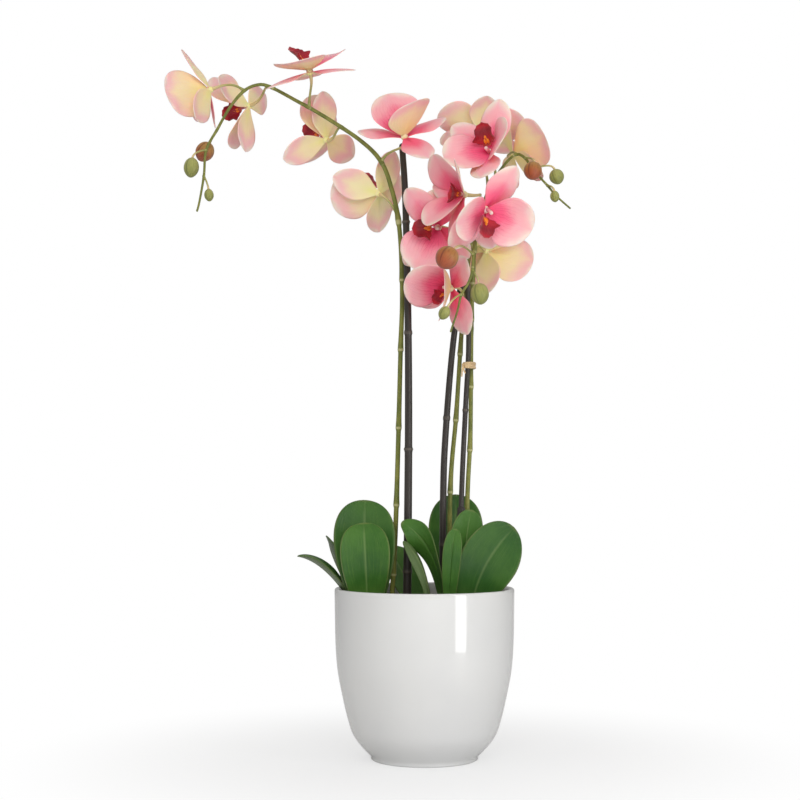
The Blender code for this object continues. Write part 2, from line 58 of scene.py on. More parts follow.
# -------- pot, liner and bark
POT_SIDES = 160
POT_FOOT = [(2.0, 0.0), (30.0, 0.0), (49.5, 0.0), (50.4, 0.5), (50.6, 1.6)]
POT_OUTER = [(50.7, 3.0), (52.6, 5.2), (57.0, 9.6), (62.9, 16.3), (68.5, 25.4), (72.2, 37.0), (75.2, 48.5),
             (77.7, 60.0), (80.3, 72.5), (82.3, 85.0), (83.6, 100.0), (84.3, 116.5), (84.7, 137.0),
             (85.0, 156.6)]
POT_RIM = [(84.95, 158.2), (84.5, 159.3), (83.7, 159.9), (82.75, 160.0), (81.8, 159.9), (81.0, 159.3),
           (80.55, 158.2)]
POT_INNER = [(80.4, 156.0), (80.1, 136.0), (79.8, 116.5), (79.0, 100.0), (77.6, 85.0), (73.0, 62.0),
             (67.0, 40.0), (59.5, 22.0), (50.0, 8.0), (24.0, 8.0), (2.0, 8.0)]
LINER_SIDES = 96
LINER_PROFILE = [(2.0, 10.0), (46.0, 8.4), (47.6, 8.6), (48.5, 9.8), (60.0, 40.0), (66.0, 89.0),
                 (72.0, 138.8), (74.2, 139.2), (74.6, 140.4), (74.0, 141.5), (71.6, 141.6), (70.7, 140.8),
                 (70.4, 138.5), (64.6, 89.0), (58.6, 40.0), (47.2, 11.5), (2.0, 10.9)]
LINER_RIBS = 24
RIB_DEPTH = 0.004
BARK_SIDES = 72
BARK_PROFILE = [(45.2, 11.0), (46.9, 12.5), (58.2, 40.0), (66.8, 108.0), (68.6, 123.0),
                (66.0, 126.4), (56.0, 126.2), (44.0, 126.8), (30.0, 126.0), (15.0, 127.0), (2.0, 126.5)]
CHIP_COUNT = 230
CHIP_SPREAD = 62.0
CHIP_LEVEL = (126.2, 129.6)
CHIP_LONG = (6.0, 12.5)
CHIP_WIDE = (0.45, 0.8)     # as parts of its length
CHIP_THICK = (2.0, 4.2)
BARK_LUMPS = 9
LUMP_DEPTH = 0.012
GOLDEN_ANGLE = math.pi * (3 - math.sqrt(5))

# -------- stems and canes: points, radius at foot and tip
SPIKES = {
    "spike_left": ([(-33, 2, 118), (-28, 4, 200), (-25, 5, 290), (-22.5, 5, 386), (-21, 4, 434),
        (-22, 3, 480), (-25, 2, 513), (-31, 0, 540), (-41, -3, 566), (-61, -7, 586), (-97, -12, 609),
        (-121, -15, 622), (-146, -17, 635), (-158, -18, 637), (-171, -19, 631), (-184, -21, 615),
        (-196, -23, 593), (-206, -25, 573), (-208, -26, 548), (-212, -27, 523),
        (-214, -27, 515)], 2.4, 1.0),
    "spike_front": ([(38, 3, 118), (41, 4, 243), (44, 5, 305), (45, 6, 386), (46, 4, 440), (48, -4, 482),
        (50, -16, 505), (50, -32, 507), (48, -46, 499), (46, -59, 484), (44, -68, 468), (43, -71, 453),
        (39, -71, 441), (33, -70, 431), (29, -70, 415), (23, -72, 397)], 2.3, 0.9),
    "spike_rear": ([(24, 12, 118), (25, 14, 250), (31, 16, 325), (36, 17, 400), (41, 17, 460),
        (50, 14, 505), (62, 9, 540), (76, 5, 563), (88, 1, 574), (97, -1, 570), (104, -2, 559),
        (118, -4, 543), (126, -5, 533), (139, -6, 521)], 2.3, 0.9),
}
CANES = {
    "stake_left": ([(-17, -4, 45), (-16.5, -4, 130), (-15, -4, 300), (-15.5, -4, 420), (-18, -3, 530),
        (-21, 1, 582)], 4.2, 3.0),
    "stake_middle": ([(14, 4, 45), (17, 4, 130), (18, 4, 243), (20, 4, 300), (27, 4, 386), (38, 5, 470),
        (41, 5, 490)], 3.5, 2.8),
    "stake_right": ([(30, -6, 45), (33, -6, 130), (35, -6, 243), (39, -6, 330), (42, -6, 390),
        (41, -6, 456)], 2.7, 2.3),
}

# -------- flowers
# by stem: centre, facing, direction of the top sepal, point the stalk leaves from, petal lean, sepal lean,
# turn of the petals, and petals that differ: extra turn, extra lean, size
FLOWERS = {
    "spike_left": {
        "flower_a1": ((-44, 12, 538), (-.5, .8, .35), (.2, .45, -.85), (-25, 2, 513), 28, 22, 15, {}),
        "flower_a2": ((-19, -24, 586), (-.15, -.42, .9), (.85, .5, .1), (-40, -3, 564), 52, 10, 0,
                      {"side_r": (-35, -25, 1.0)}),
        "flower_a3": ((-95, 16, 592), (-.6, .65, .45), (.6, .75, -.25), (-75, -9, 594), 40, 8, -25, {}),
        "flower_a4": ((-108, -34, 646), (-.2, -.25, .95), (.85, -.5, .2), (-110, -14, 617), 12, -8, 0, {}),
        "flower_a5": ((-172, 28, 627), (-.85, .45, -.15), (0, .95, .35), (-145, -17, 634), 37, 5, 0, {}),
        "flower_a6": ((-205, -10, 634), (-.95, .2, -.3), (-.35, -.05, .95), (-175, -20, 627), 45, 18, 0, {}),
    },
    "spike_rear": {
        "flower_r1": ((62, -28, 570), (-.4, -.8, .45), (-.1, -.5, -.85), (70, 7, 553), 30, 24, 12,
                      {"side_l": (-38, -6, 1.12), "petal_l": (10, 16, .9)}),
        "flower_r2": ((57, 52, 606), (.1, .5, .86), (.1, -.85, .5), (60, 9, 536), 10, 8, 0, {}),
        "flower_r3": ((88, 30, 580), (.85, .3, .45), (-.4, -.2, .9), (92, 0, 573), 20, 2, 0,
                      {"petal_r": (0, 30, .85)}),
        "flower_r5": ((36, -52, 526), (-.9, -.4, .05), (-.4, .85, .3), (56, 11, 522), 44, 36, 8,
                      {"side_l": (30, -25, .9), "top": (0, -6, .8)}),
    },
    "spike_front": {
        "flower_r6": ((54, -88, 506), (.3, -.72, -.62), (.55, -.3, .75), (51, -28, 507), 25, -4, 5,
                      {"side_l": (-38, 16, 1.0), "petal_l": (-34, 4, .9)}),
        "flower_r7": ((13, -22, 500), (-.4, -.9, -.2), (.9, -.4, -.1), (48, -5, 490), 26, 18, -30,
                      {"petal_l": (-35, -36, .8), "top": (38, -12, .9)}),
        "flower_r8": ((25, -18, 443), (-.7, -.7, -.25), (.25, -.5, .85), (45, 6, 412), 56, 8, 0,
                      {"top": (18, 4, .9)}),
        "flower_r9": ((60, 14, 482), (.45, .8, -.35), (0, -.35, -.93), (48, 0, 478), 30, 0, 0, {}),
    },
}

# by stem: centre, radius, length, pointing, point the stalk leaves from
BUDS = {
    "spike_left": {
        "bud_left_1": ((-209, -12, 574), 8.8, 20, (-.5, .2, -.8), (-196, -23, 593)),
        "bud_left_2": ((-219, -32, 555), 7.2, 19, (-.1, 0, -1), (-207, -25, 570)),
        "bud_left_3": ((-203, -26, 530), 4.5, 12, (.1, 0, -1), (-208, -26, 548)),
    },
    "spike_front": {
        "bud_front_1": ((19, -96, 461), 10.5, 22, (-.6, -.4, -.8), (45, -66, 474)),
        "bud_front_2": ((50, -66, 432), 8.5, 20, (.1, -.1, -1), (44, -70, 453)),
        "bud_front_3": ((17, -80, 413), 5.2, 13, (-.5, 0, -.9), (33, -70, 431)),
    },
    "spike_rear": {
        "bud_rear_1": ((103, -16, 555), 8.8, 18, (-.2, -.3, -1), (100, -2, 565)),
        "bud_rear_2": ((127, -2, 552), 7.2, 15, (.3, 0, -1), (106, -2, 557)),
        "bud_rear_3": ((124, -13, 531), 4.5, 11, (.1, 0, -1), (119, -4, 541)),
    },
}

# foot, middle, tip, width, the way the upper face looks, cross curl
LEAVES = {
    "leaf_left_front": ((-53, -15, 133), (-55, -34, 185), (-57, -30, 222), 48, (0, -1, .2), .5),
    "leaf_left_tall": ((-52, -8, 133), (-56, -16, 195), (-56, -8, 243), 60, (0, -1, .2), .5),
    "leaf_left_low": ((-61, -2, 133), (-90, -3, 175), (-120, -5, 190), 34, (.4, 0, 1), .5),
    "leaf_left_rear": ((-58, 8, 133), (-82, 18, 180), (-92, 28, 206), 40, (.4, .3, 1), .5),
    "leaf_right_front": ((42, -18, 134), (55, -29, 180), (83, -34, 218), 56, (.2, -1, .2), .5),
    "leaf_right_pointed": ((40, -11, 133), (38, -18, 190), (44, -18, 234), 34, (.1, -1, .2), .5),
    "leaf_right_small": ((22, -30, 133), (24, -44, 185), (28, -46, 217), 18, (0, -1, .2), .5),
    "leaf_right_arching": ((18, -14, 133), (8, -18, 190), (-22, -20, 222), 28, (-.7, -.3, .6), .5),
    "leaf_right_thin": ((5, -27, 133), (-2, -30, 175), (-20, -26, 205), 14, (-.8, .5, .3), .5),
    "leaf_right_rear": ((32, 24, 133), (31, 34, 200), (31, 36, 248), 54, (0, -1, .2), .4),
    "leaf_back": ((-6, 34, 133), (-20, 48, 170), (-38, 62, 196), 44, (.2, -.5, 1), .5),
}

# -------- petals, sepals and lips
PETAL = {"length": 45, "width": 50, "widest": 0.50, "foot": 0.12, "blunt": 0.50, "rise": 1.0, "curl": 0.30}
SEPAL = {"length": 47, "width": 30, "widest": 0.50, "foot": 0.16, "blunt": 0.62, "rise": 1.35, "curl": -0.25}
# label, shape, angle, extra lean
TEPALS = (("top", SEPAL, 0.7, 0.0), ("petal_r", PETAL, 80.0, 0.0), ("petal_l", PETAL, -80.6, 0.9),
          ("side_r", SEPAL, 129.0, -1.0), ("side_l", SEPAL, -127.0, 1.3))
LEAF = {"widest": 0.62, "foot": 0.34, "blunt": 0.5, "rise": 1.0}
TIP_HALF = 0.8          # half width left at the tip so that it is not a needle
LEAN_SPREAD = 9         # a tepal starts this much steeper than its lean and ends this much flatter
HUB_RADIUS = 4.2
PETAL_FORWARD = 1.5     # the petals start this far in front of the middle of the hub
SEPAL_BACK = -1.1
TEPAL_START = 1.0       # and this far out from it
RUFFLE_TURNS = 6.6      # angle that the ruffle turns through from foot to tip, in radians
CREASE_DEPTH = 0.45
CREASE_WIDTH = 0.09
CRIMP_DEPTH = 0.35
CRIMP_TURNS = 34
KEEL_HEIGHT = 0.5
COLUMN = [(0.0, 0.6, 0.0), (0.0, 2.0, 5.0), (0.0, 2.8, 10.6)]
COLUMN_RADIUS = (2.1, 1.6, 1.8)
LIP_LENGTH = 24.0
LIP_SIZES = ((36, 1.0), (50, 0.85), (90, 0.72))     # up to which lean of the petals, and the size
LIP_AT = (0.0, 0.12, 0.28, 0.38, 0.50, 0.70, 0.88, 1.0)
LIP_HALF = (2.5, 5.0, 10.5, 15.0, 10.0, 9.5, 6.5, 1.0)
LIP_FALL = (-10, -15, -25, -32, -40, -45, -25, 5)
LIP_CURL = (0.6, 1.1, 1.25, 1.3, 1.1, 0.8, 0.5, 0.3)
LIP_START = (0.0, -5.0, 5.2)
CALLUS = (((-1.3, -5.6, 10.5), 1.5, 6.0), ((1.3, -5.6, 10.5), 1.5, 6.0), ((0.0, -7.0, 14.5), 1.3, 4.5))

PETAL_GRID = (34, 24)
SEPAL_GRID = (30, 16)
LIP_GRID = (34, 22)
LEAF_GRID = (56, 22)
TIP_CROWDING = 1.7      # rows of a sheet stand closer together towards the tip
SHEET_MIDDLE = 0.75     # thickness of a petal along its middle
SHEET_RIM = 0.35
LEAF_MIDDLE = 2.2
LEAF_RIM = 0.8
LEAF_WAVE = 0.9
LEAF_GROOVE = 1.1
LIP_MIDDLE = 0.8
LIP_RIM = 0.4
FLOWER_STALK = (0.25, 26, 1.1, 1.9)     # lift, steps, radius at the stem and at the flower
BUD_STALK = (0.15, 18, 0.85, 1.15)
STALK_PULL = 0.35       # how much of its reach a stalk keeps to the direction it starts and ends in
SPIKE_STEP = 18.0       # spacing of the points that stalks may leave from
FINE_STEP = 3.0
STEM_SIDES = 14
CAP_TURNS = (82.0, 62.0, 40.0, 20.0)     # angles of the rings that round off the end of a tube
SEPAL_KIND, PETAL_KIND, COLUMN_KIND, LIP_KIND, CALLUS_KIND = 0.0, 1.0, 2.0, 3.0, 4.0

# heights of the joints on the upright part of each stem, in order
STEM_JOINTS = {
    "spike_left": (172, 238, 312, 388, 452, 508),
    "spike_front": (168, 226, 290, 352, 414, 470),
    "spike_rear": (180, 252, 318, 384, 446, 500),
}
JOINT_SWELL = 0.75
JOINT_FADE = 9.0
JOINT_RISE = 0.9
FORK_SWELL = 0.8        # swelling where a stalk leaves, as part of that at a joint
FORK_FADE = 4.0
FORK_BELOW = 2.0        # that swelling stands this far before the stalk
SCAR_WIDTH = 1.6
UPRIGHT_PART = 0.62     # joints by height are looked for in this part of a stem's length
CANE_JOINTS = {
    "stake_left": (176, 291, 402, 508),
    "stake_middle": (201, 321, 436),
    "stake_right": (225, 328, 420),
}
CANE_SWELL = 0.9
CANE_RING = 1.4
CANE_SIDES = 20
SLEEVE = (216.0, 234.0, 1.1)     # a short sleeve on the right cane: foot, top, wall

TIE_CENTRE = (43.0, -0.2, 371.0)
TIE_ALONG = (3.6, 11.6, 0.0)
TIE_HALF = (10.4, 5.0)
TIE_WRAPS = 5
TIE_STRAND = 0.75
TIE_RISE = 2.6          # the winding climbs from this far below its centre to this far above
TIE_WOBBLE = 0.35
KNOT_AT = (8.2, 3.4)    # back from the centre, along the winding and across it
TAILS = ((-11.0, -1.0), (-8.0, 2.4))     # drop and sideways lean of the loose ends

# -------- stage, in metres
# place, what it looks at, width, height, the setting its power comes from, and times that setting
LIGHTS = {
    "key": ((0.05, -2.2, 1.15), (0, 0, 0.35), 1.7, 1.5, "key_power", 1),
    "fill": ((-1.5, -1.2, 1.3), (0, 0, 0.35), 1.2, 1.4, "fill_power", 1),
    "window": ((0.41, -0.44, 0.31), (0, 0, 0.31), 0.15, 0.60, "window_power", 1),
    "top": ((0.0, 0.2, 2.2), (0, 0, 0.3), 1.6, 1.6, "fill_power", 1),
    "rear": ((0.5, 2.2, 1.4), (0, 0, 0.35), 1.6, 1.4, "fill_power", 2),
}
REFLECTED = ("window",)                 # lights that show in the glaze
AMBIENT = 0.38
WARM_WHITE = (1.0, 0.99, 0.97, 1.0)
WHITE = (1.0, 1.0, 1.0, 1.0)
FLOOR_PROFILE = [(0.01, -6.0), (30000.0, -6.0), (30000.0, -0.4), (0.01, -0.4)]     # millimetres
FLOOR_SIDES = 96
FLOOR_FADE = (0.09, 0.42, 0.62, 1.0)    # near and far distance, and how white the floor is at each
EYE = (-0.0231, -1.540, 0.263)
EYE_TILT = 92.79
SENSOR_WIDTH = 36.0                     # millimetres
CLIP_END = 100.0


# -------- curves and surfaces
def unit(v):
    """Return v divided by its length; rows of an array are each divided by their own."""
    v = np.asarray(v, float)
    return v / np.linalg.norm(v, axis=-1, keepdims=True)


def smooth_path(points, step):
    """Return a curve through the points: between two of them, the cubic whose slope at each end is half the
    step between that point's neighbours, sampled about every step millimetres."""
    p = np.asarray(points, float)
    p = np.vstack([2 * p[0] - p[1], p, 2 * p[-1] - p[-2]])
    out = []
    for i in range(1, len(p) - 2):
        count = max(1, int(round(np.linalg.norm(p[i + 1] - p[i]) / step)))
        t = np.linspace(0, 1, count, endpoint=False)[:, None]
        a, b, c, d = p[i - 1], p[i], p[i + 1], p[i + 2]
        out.append(0.5 * (2 * b + (c - a) * t + (2 * a - 5 * b + 4 * c - d) * t ** 2
                          + (3 * b - a - 3 * c + d) * t ** 3))
    out.append(p[-2][None])
    return np.vstack(out)


def smooth_profile(points, step):
    """Return the smooth curve through points of (radius, height)."""
    return smooth_path([(r, 0, z) for r, z in points], step)[:, (0, 2)].tolist()


def bezier(p0, p1, p2, p3, count):
    """Return count + 1 points of the cubic curve that leaves p0 towards p1 and meets p3 from p2."""
    t = np.linspace(0, 1, count + 1)[:, None]
    p0, p1, p2, p3 = (np.asarray(p, float) for p in (p0, p1, p2, p3))
    return (1 - t) ** 3 * p0 + 3 * (1 - t) ** 2 * t * p1 + 3 * (1 - t) * t ** 2 * p2 + t ** 3 * p3


def ease(u, at, values):
    """Return the table's value at u: between two entries it follows three squares less two cubes."""
    at, values = np.asarray(at, float), np.asarray(values, float)
    i = np.clip(np.searchsorted(at, u, side="right") - 1, 0, len(at) - 2)
    t = np.clip((u - at[i]) / (at[i + 1] - at[i]), 0, 1)
    return values[i] + (values[i + 1] - values[i]) * t * t * (3 - 2 * t)


def part(verts, faces, along, across, front=0.0, kind=0.0, tint=0.0, flat=()):
    """Return one closed shape: its points, face arrays, and the values that its material reads at each
    point."""
    count = len(verts)
    spread = [np.broadcast_to(np.asarray(x, float), (count,)) for x in (along, across, front, kind, tint)]
    blocks = [(np.asarray(f), False) for f in faces] + [(np.asarray(f), True) for f in flat]
    return {"verts": verts, "faces": blocks, "values": np.stack(spread)}


def rings(rows, along, kind=0.0, tint=0.0):
    """Return the closed shape through stacked rings of points (rows, sides, 3), with its two ends capped."""
    n, sides = rows.shape[:2]
    index = np.arange(n * sides).reshape(n, sides)
    nxt = np.roll(index, -1, axis=1)
    quads = np.stack([index[:-1], nxt[:-1], nxt[1:], index[1:]], -1).reshape(-1, 4)
    caps = [index[:1, ::-1], index[-1:]]
    verts = rows.reshape(-1, 3)
    a, b, c, d = (verts[quads[:, k]] for k in range(4))
    volume = np.sum(np.cross(b - a, d - a) * a + np.cross(d - c, b - c) * c)
    if volume < 0:
        quads = quads[:, ::-1]
        caps = [f[:, ::-1] for f in caps]
    across = np.broadcast_to(np.linspace(-1, 1, sides, endpoint=False), (n, sides)).ravel()
    spread = np.broadcast_to(np.asarray(along, float)[:, None], (n, sides)).ravel()
    colour = np.broadcast_to(np.reshape(np.asarray(tint, float), (-1, 1)), (n, sides)).ravel()
    return part(verts, [quads] + caps, spread, across, 0.0, kind, colour)


def frames(path):
    """Return two unit directions square to a path at each of its points, built from the axis that the
    path's own direction comes least close to."""
    tangent = unit(np.gradient(path, axis=0))
    axis = np.eye(3)[int(np.argmin(np.abs(tangent).max(axis=0)))]
    side = unit(np.cross(tangent, axis))
    return side, np.cross(tangent, side)


def tube(path, radius, sides, kind=0.0, tint=0.0, squash=1.0):
    """Return a closed tube: at each point of the path, a circle square to it, with half-round ends."""
    path = np.asarray(path, float)
    radius = np.broadcast_to(np.asarray(radius, float), (len(path),))
    tint = np.broadcast_to(np.asarray(tint, float), (len(path),))
    length = np.concatenate([[0], np.cumsum(np.linalg.norm(np.diff(path, axis=0), axis=1))])
    along = length / length[-1]
    turn = np.radians(CAP_TURNS)
    first, last = unit(path[0] - path[1]), unit(path[-1] - path[-2])
    path = np.vstack([path[0] + first * (radius[0] * np.sin(turn))[:, None], path,
                      path[-1] + last * (radius[-1] * np.sin(turn[::-1]))[:, None]])
    radius = np.concatenate([radius[0] * np.cos(turn), radius, radius[-1] * np.cos(turn[::-1])])
    along = np.concatenate([np.zeros(len(turn)), along, np.ones(len(turn))])
    tint = np.concatenate([np.full(len(turn), tint[0]), tint, np.full(len(turn), tint[-1])])
    side, other = frames(path)
    phase = np.linspace(0, 2 * np.pi, sides, endpoint=False)
    rows = path[:, None] + radius[:, None, None] * (np.cos(phase)[None, :, None] * side[:, None]
                                                    + squash * np.sin(phase)[None, :, None] * other[:, None])
    return rings(rows, along, kind, tint)


def egg(centre, radius, length, pointing, count, sides, point=0.0, seams=0.0, kind=0.0, tint=0.0):
    """Return an egg: circles whose radius is the sine of the way round from foot to tip, drawn in at the
    tip by point, with three shallow seams running its length."""
    d = unit(pointing)
    a = unit(np.cross(d, (0.1, 1.0, 0.03)))
    b = np.cross(d, a)
    phase = np.linspace(0, 2 * np.pi, sides, endpoint=False)
    k = np.linspace(0.05, np.pi - 0.05, count)
    along = -np.cos(k)
    radii = radius * np.sin(k) * (1 - point * np.maximum(along, 0) ** 2)
    groove = 1 - seams * (0.5 + 0.5 * np.cos(3 * phase)) ** 14
    spoke = np.cos(phase)[:, None] * a + np.sin(phase)[:, None] * b
    rows = (np.asarray(centre, float) + (along * length / 2)[:, None, None] * d
            + (radii[:, None] * groove)[..., None] * spoke)
    return rings(rows, (along + 1) / 2, kind, tint)


def lathe(profile, sides, ribs=0, rib_depth=0.0):
    """Return the solid of revolution about z of a profile of (radius, height), its radius rippled by ribs."""
    phase = np.linspace(0, 2 * np.pi, sides, endpoint=False)
    profile = np.asarray(profile, float)
    radius = profile[:, :1] * (1 + rib_depth * np.cos(ribs * phase))
    rows = np.stack([radius * np.cos(phase), radius * np.sin(phase),
                     np.broadcast_to(profile[:, 1:], radius.shape)], -1)
    return rings(rows, np.linspace(0, 1, len(profile)))


def slab(grid, middle, rim, along, kind=0.0, tint=0.0):
    """Return a closed sheet: the grid pushed out to both sides by half its thickness, which eases from its
    middle to its rim, and joined round the edge."""
    nu, nv = grid.shape[:2]
    normal = unit(np.cross(np.gradient(grid, axis=1), np.gradient(grid, axis=0)))
    v = np.broadcast_to(np.linspace(-1, 1, nv), (nu, nv))
    u = np.broadcast_to(np.asarray(along, float)[:, None], (nu, nv))
    edge = np.clip(np.maximum(np.abs(v), 2 * u - 1), 0, 1) ** 3
    half = ((middle + (rim - middle) * edge) / 2)[..., None]
    front = (grid + normal * half).reshape(-1, 3)
    back = (grid - normal * half).reshape(-1, 3)
    index = np.arange(nu * nv).reshape(nu, nv)
    quads = np.stack([index[:-1, :-1], index[:-1, 1:], index[1:, 1:], index[1:, :-1]], -1).reshape(-1, 4)
    count = nu * nv
    loop = np.concatenate([index[0, :-1], index[:-1, -1], index[-1, :0:-1], index[:0:-1, 0]])
    follow = np.roll(loop, -1)
    edge_faces = np.stack([loop, loop + count, follow + count, follow], -1)
    side = np.concatenate([np.ones(count), np.zeros(count)])
    return part(np.concatenate([front, back]), [quads, quads[:, ::-1] + count], np.tile(u.ravel(), 2),
                np.tile(v.ravel(), 2), side, kind, tint, flat=[edge_faces])


def placed(shape, axes, centre):
    """Return a shape turned by the columns of axes and moved to centre."""
    return dict(shape, verts=shape["verts"] @ np.asarray(axes).T + np.asarray(centre, float))


def half_width(u, spec):
    """Return a blade's half width at u, foot 0 to tip 1: a sine up to the widest place, then an ellipse
    down."""
    widest = spec["widest"]
    rise = spec["foot"] + (1 - spec["foot"]) * np.sin(np.pi / 2 * np.clip(u / widest, 0, 1)) ** spec["rise"]
    fall = np.clip(1 - np.clip((u - widest) / (1 - widest), 0, 1) ** 2, 0, 1) ** spec["blunt"]
    return np.maximum(spec["width"] / 2 * np.where(u < widest, rise, fall), TIP_HALF)


def crowded(rows):
    """Return rows + 1 steps from 0 to 1 that close up towards 1."""
    return 1 - (1 - np.linspace(0, 1, rows + 1)) ** TIP_CROWDING


def curled(line, side, normal, half, bend, v, relief):
    """Return the grid of a sheet: at each point of its midline an arc that reaches half to either side and
    turns by bend, raised by relief; v holds the places across, from -1 to 1."""
    arc, turn = (half / bend)[:, None], bend[:, None] * v
    side = np.broadcast_to(side, line.shape)
    offset = arc * (1 - np.cos(turn)) + relief
    aside = (arc * np.sin(turn))[..., None] * side[:, None]
    return line[:, None] + aside + offset[..., None] * normal[:, None]


def tepal(angle, spec, lean, is_petal, ruffle, phase):
    """Return the steps and the grid of a petal or sepal in the flower's own axes (right, top, facing): a
    midline that leans forward less and less, an arc across it at each step, and a ruffle that grows towards
    the rim."""
    rows, columns = PETAL_GRID if is_petal else SEPAL_GRID
    th = math.radians(angle)
    outward = np.array([math.sin(th), math.cos(th), 0.0])
    side = np.array([math.cos(th), -math.sin(th), 0.0])
    front = np.array([0.0, 0.0, 1.0])
    u = crowded(rows)
    a = np.radians(lean + LEAN_SPREAD * (1 - 2 * u))
    am, du = (a[1:] + a[:-1]) / 2, np.diff(u) * spec["length"]
    reach = np.concatenate([[0], np.cumsum(np.cos(am) * du)]) + TEPAL_START
    lift = np.concatenate([[0], np.cumsum(np.sin(am) * du)]) + (PETAL_FORWARD if is_petal else SEPAL_BACK)
    half = half_width(u, spec)
    v = np.linspace(-1, 1, columns + 1)
    swell = np.sin(np.pi * u ** 0.8)[:, None]
    wave = ruffle * np.abs(v) ** 2.2 * np.sin(RUFFLE_TURNS * u[:, None] + 1.3 * np.sign(v) + phase)
    crease = -CREASE_DEPTH * np.exp(-(v / CREASE_WIDTH) ** 2) * (1 - u[:, None])
    return u, curled(reach[:, None] * outward + lift[:, None] * front, side,
                     np.cos(a)[:, None] * front - np.sin(a)[:, None] * outward,
                     half, spec["curl"] * half / (spec["width"] / 2), v, (wave + crease) * swell)


def lip_sheet(size, tint):
    """Return the lip: a strip whose midline falls away from the flower, rolled up into side lobes by the
    column, pinched at its waist and flared again at its tip, with a crimped rim."""
    u = np.linspace(0, 1, LIP_GRID[0] + 1)
    half = ease(u, LIP_AT, LIP_HALF) * size
    fall = np.radians(ease(u, LIP_AT, LIP_FALL))
    curl = ease(u, LIP_AT, LIP_CURL)
    step = LIP_LENGTH * size / LIP_GRID[0]
    fm = (fall[1:] + fall[:-1]) / 2
    y = np.concatenate([[0], np.cumsum(np.sin(fm))]) * step + LIP_START[1]
    z = np.concatenate([[0], np.cumsum(np.cos(fm))]) * step + LIP_START[2]
    v = np.linspace(-1, 1, LIP_GRID[1] + 1)
    crimp = CRIMP_DEPTH * np.abs(v) ** 3 * np.sin(CRIMP_TURNS * u[:, None])
    keel = KEEL_HEIGHT * np.exp(-(v / 0.12) ** 2) * np.sin(np.pi * u[:, None])
    none = np.zeros_like(u)
    normal = np.stack([none, np.cos(fall), -np.sin(fall)], 1)
    grid = curled(np.stack([none, y, z], 1), (1.0, 0.0, 0.0), normal, half, curl, v, crimp + keel)
    return slab(grid, LIP_MIDDLE, LIP_RIM, u, LIP_KIND, tint)


def flower_axes(facing, top):
    """Return the 3 x 3 matrix whose columns are the flower's right, top and facing directions."""
    f = unit(facing)
    t = unit(np.asarray(top, float) - f * np.dot(top, f))
    return np.stack([np.cross(t, f), t, f], 1)


def leaf_sheet(foot, middle, tip, width, face, curl, tint):
    """Return a strap leaf: a curve through three points, an arc across it at each step that folds along the
    midrib, and a slow wave along both margins."""
    u = crowded(LEAF_GRID[0])
    p0, p1, p2 = (np.asarray(p, float) for p in (foot, middle, tip))
    pull = 2 * p1 - 0.5 * (p0 + p2)
    line = (1 - u)[:, None] ** 2 * p0 + 2 * ((1 - u) * u)[:, None] * pull + (u ** 2)[:, None] * p2
    tangent = unit(2 * (1 - u)[:, None] * (pull - p0) + 2 * u[:, None] * (p2 - pull))
    half = half_width(u, dict(LEAF, width=width))
    normal = unit(unit(face) - tangent * (tangent @ unit(face))[:, None])
    v = np.linspace(-1, 1, LEAF_GRID[1] + 1)
    wave = LEAF_WAVE * np.abs(v) ** 2 * np.sin(7.0 * u[:, None] + 2.0 * np.sign(v) + 9 * tint)
    groove = -LEAF_GROOVE * np.exp(-(v / 0.07) ** 2) * np.sin(np.pi * np.clip(u, 0.02, 0.98))[:, None]
    grid = curled(line, np.cross(tangent, normal), normal, half, curl * half / (width / 2), v,
                  wave * np.sin(np.pi * u)[:, None] + groove)
    return slab(grid, LEAF_MIDDLE, LEAF_RIM, u, 0.0, tint)


# -------- meshes and materials
def make_piece(node, shapes, material):
    """Make the finished piece of one node from closed shapes, hang it on the body, and hide the plain solid
    it stands for.
    """
    verts = np.concatenate([s["verts"] for s in shapes]) * MM
    faces, smooth, start = [], [], 0
    for s in shapes:
        for block, is_flat in s["faces"]:
            faces += (block + start).tolist()
            smooth += [not is_flat] * len(block)
        start += len(s["verts"])
    mesh = bpy.data.meshes.new(node + "_finished")
    mesh.from_pydata(verts.tolist(), [], faces)
    mesh.polygons.foreach_set("use_smooth", smooth)
    values = np.concatenate([s["values"] for s in shapes], axis=1)
    for label, row in zip(("along", "across", "front", "kind", "tint"), values):
        attribute = mesh.attributes.new(label, "FLOAT", "POINT")
        attribute.data.foreach_set("value", np.ascontiguousarray(row, np.float32))
    mesh.validate()
    mesh.update()
    mesh.materials.append(material)
    obj = bpy.data.objects.new(node + "_finished", mesh)
    bpy.context.scene.collection.objects.link(obj)
    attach(obj, BODY)
    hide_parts(node)


class Value:
    """An output in a graph of nodes, which adds, subtracts and multiplies as a number does."""

    def __init__(self, graph, socket):
        """Remember the output and the graph that it belongs to."""
        self.graph, self.socket = graph, socket

    def maths(self, operation, *others):
        """Return a simple function of this value and the others."""
        return self.graph.node("Math", (self, *others), operation=operation)

    def __add__(self, other):
        """Return the sum."""
        return self.maths("ADD", other)

    def __sub__(self, other):
        """Return the difference."""
        return self.maths("SUBTRACT", other)

    def __mul__(self, other):
        """Return the product."""
        return self.maths("MULTIPLY", other)


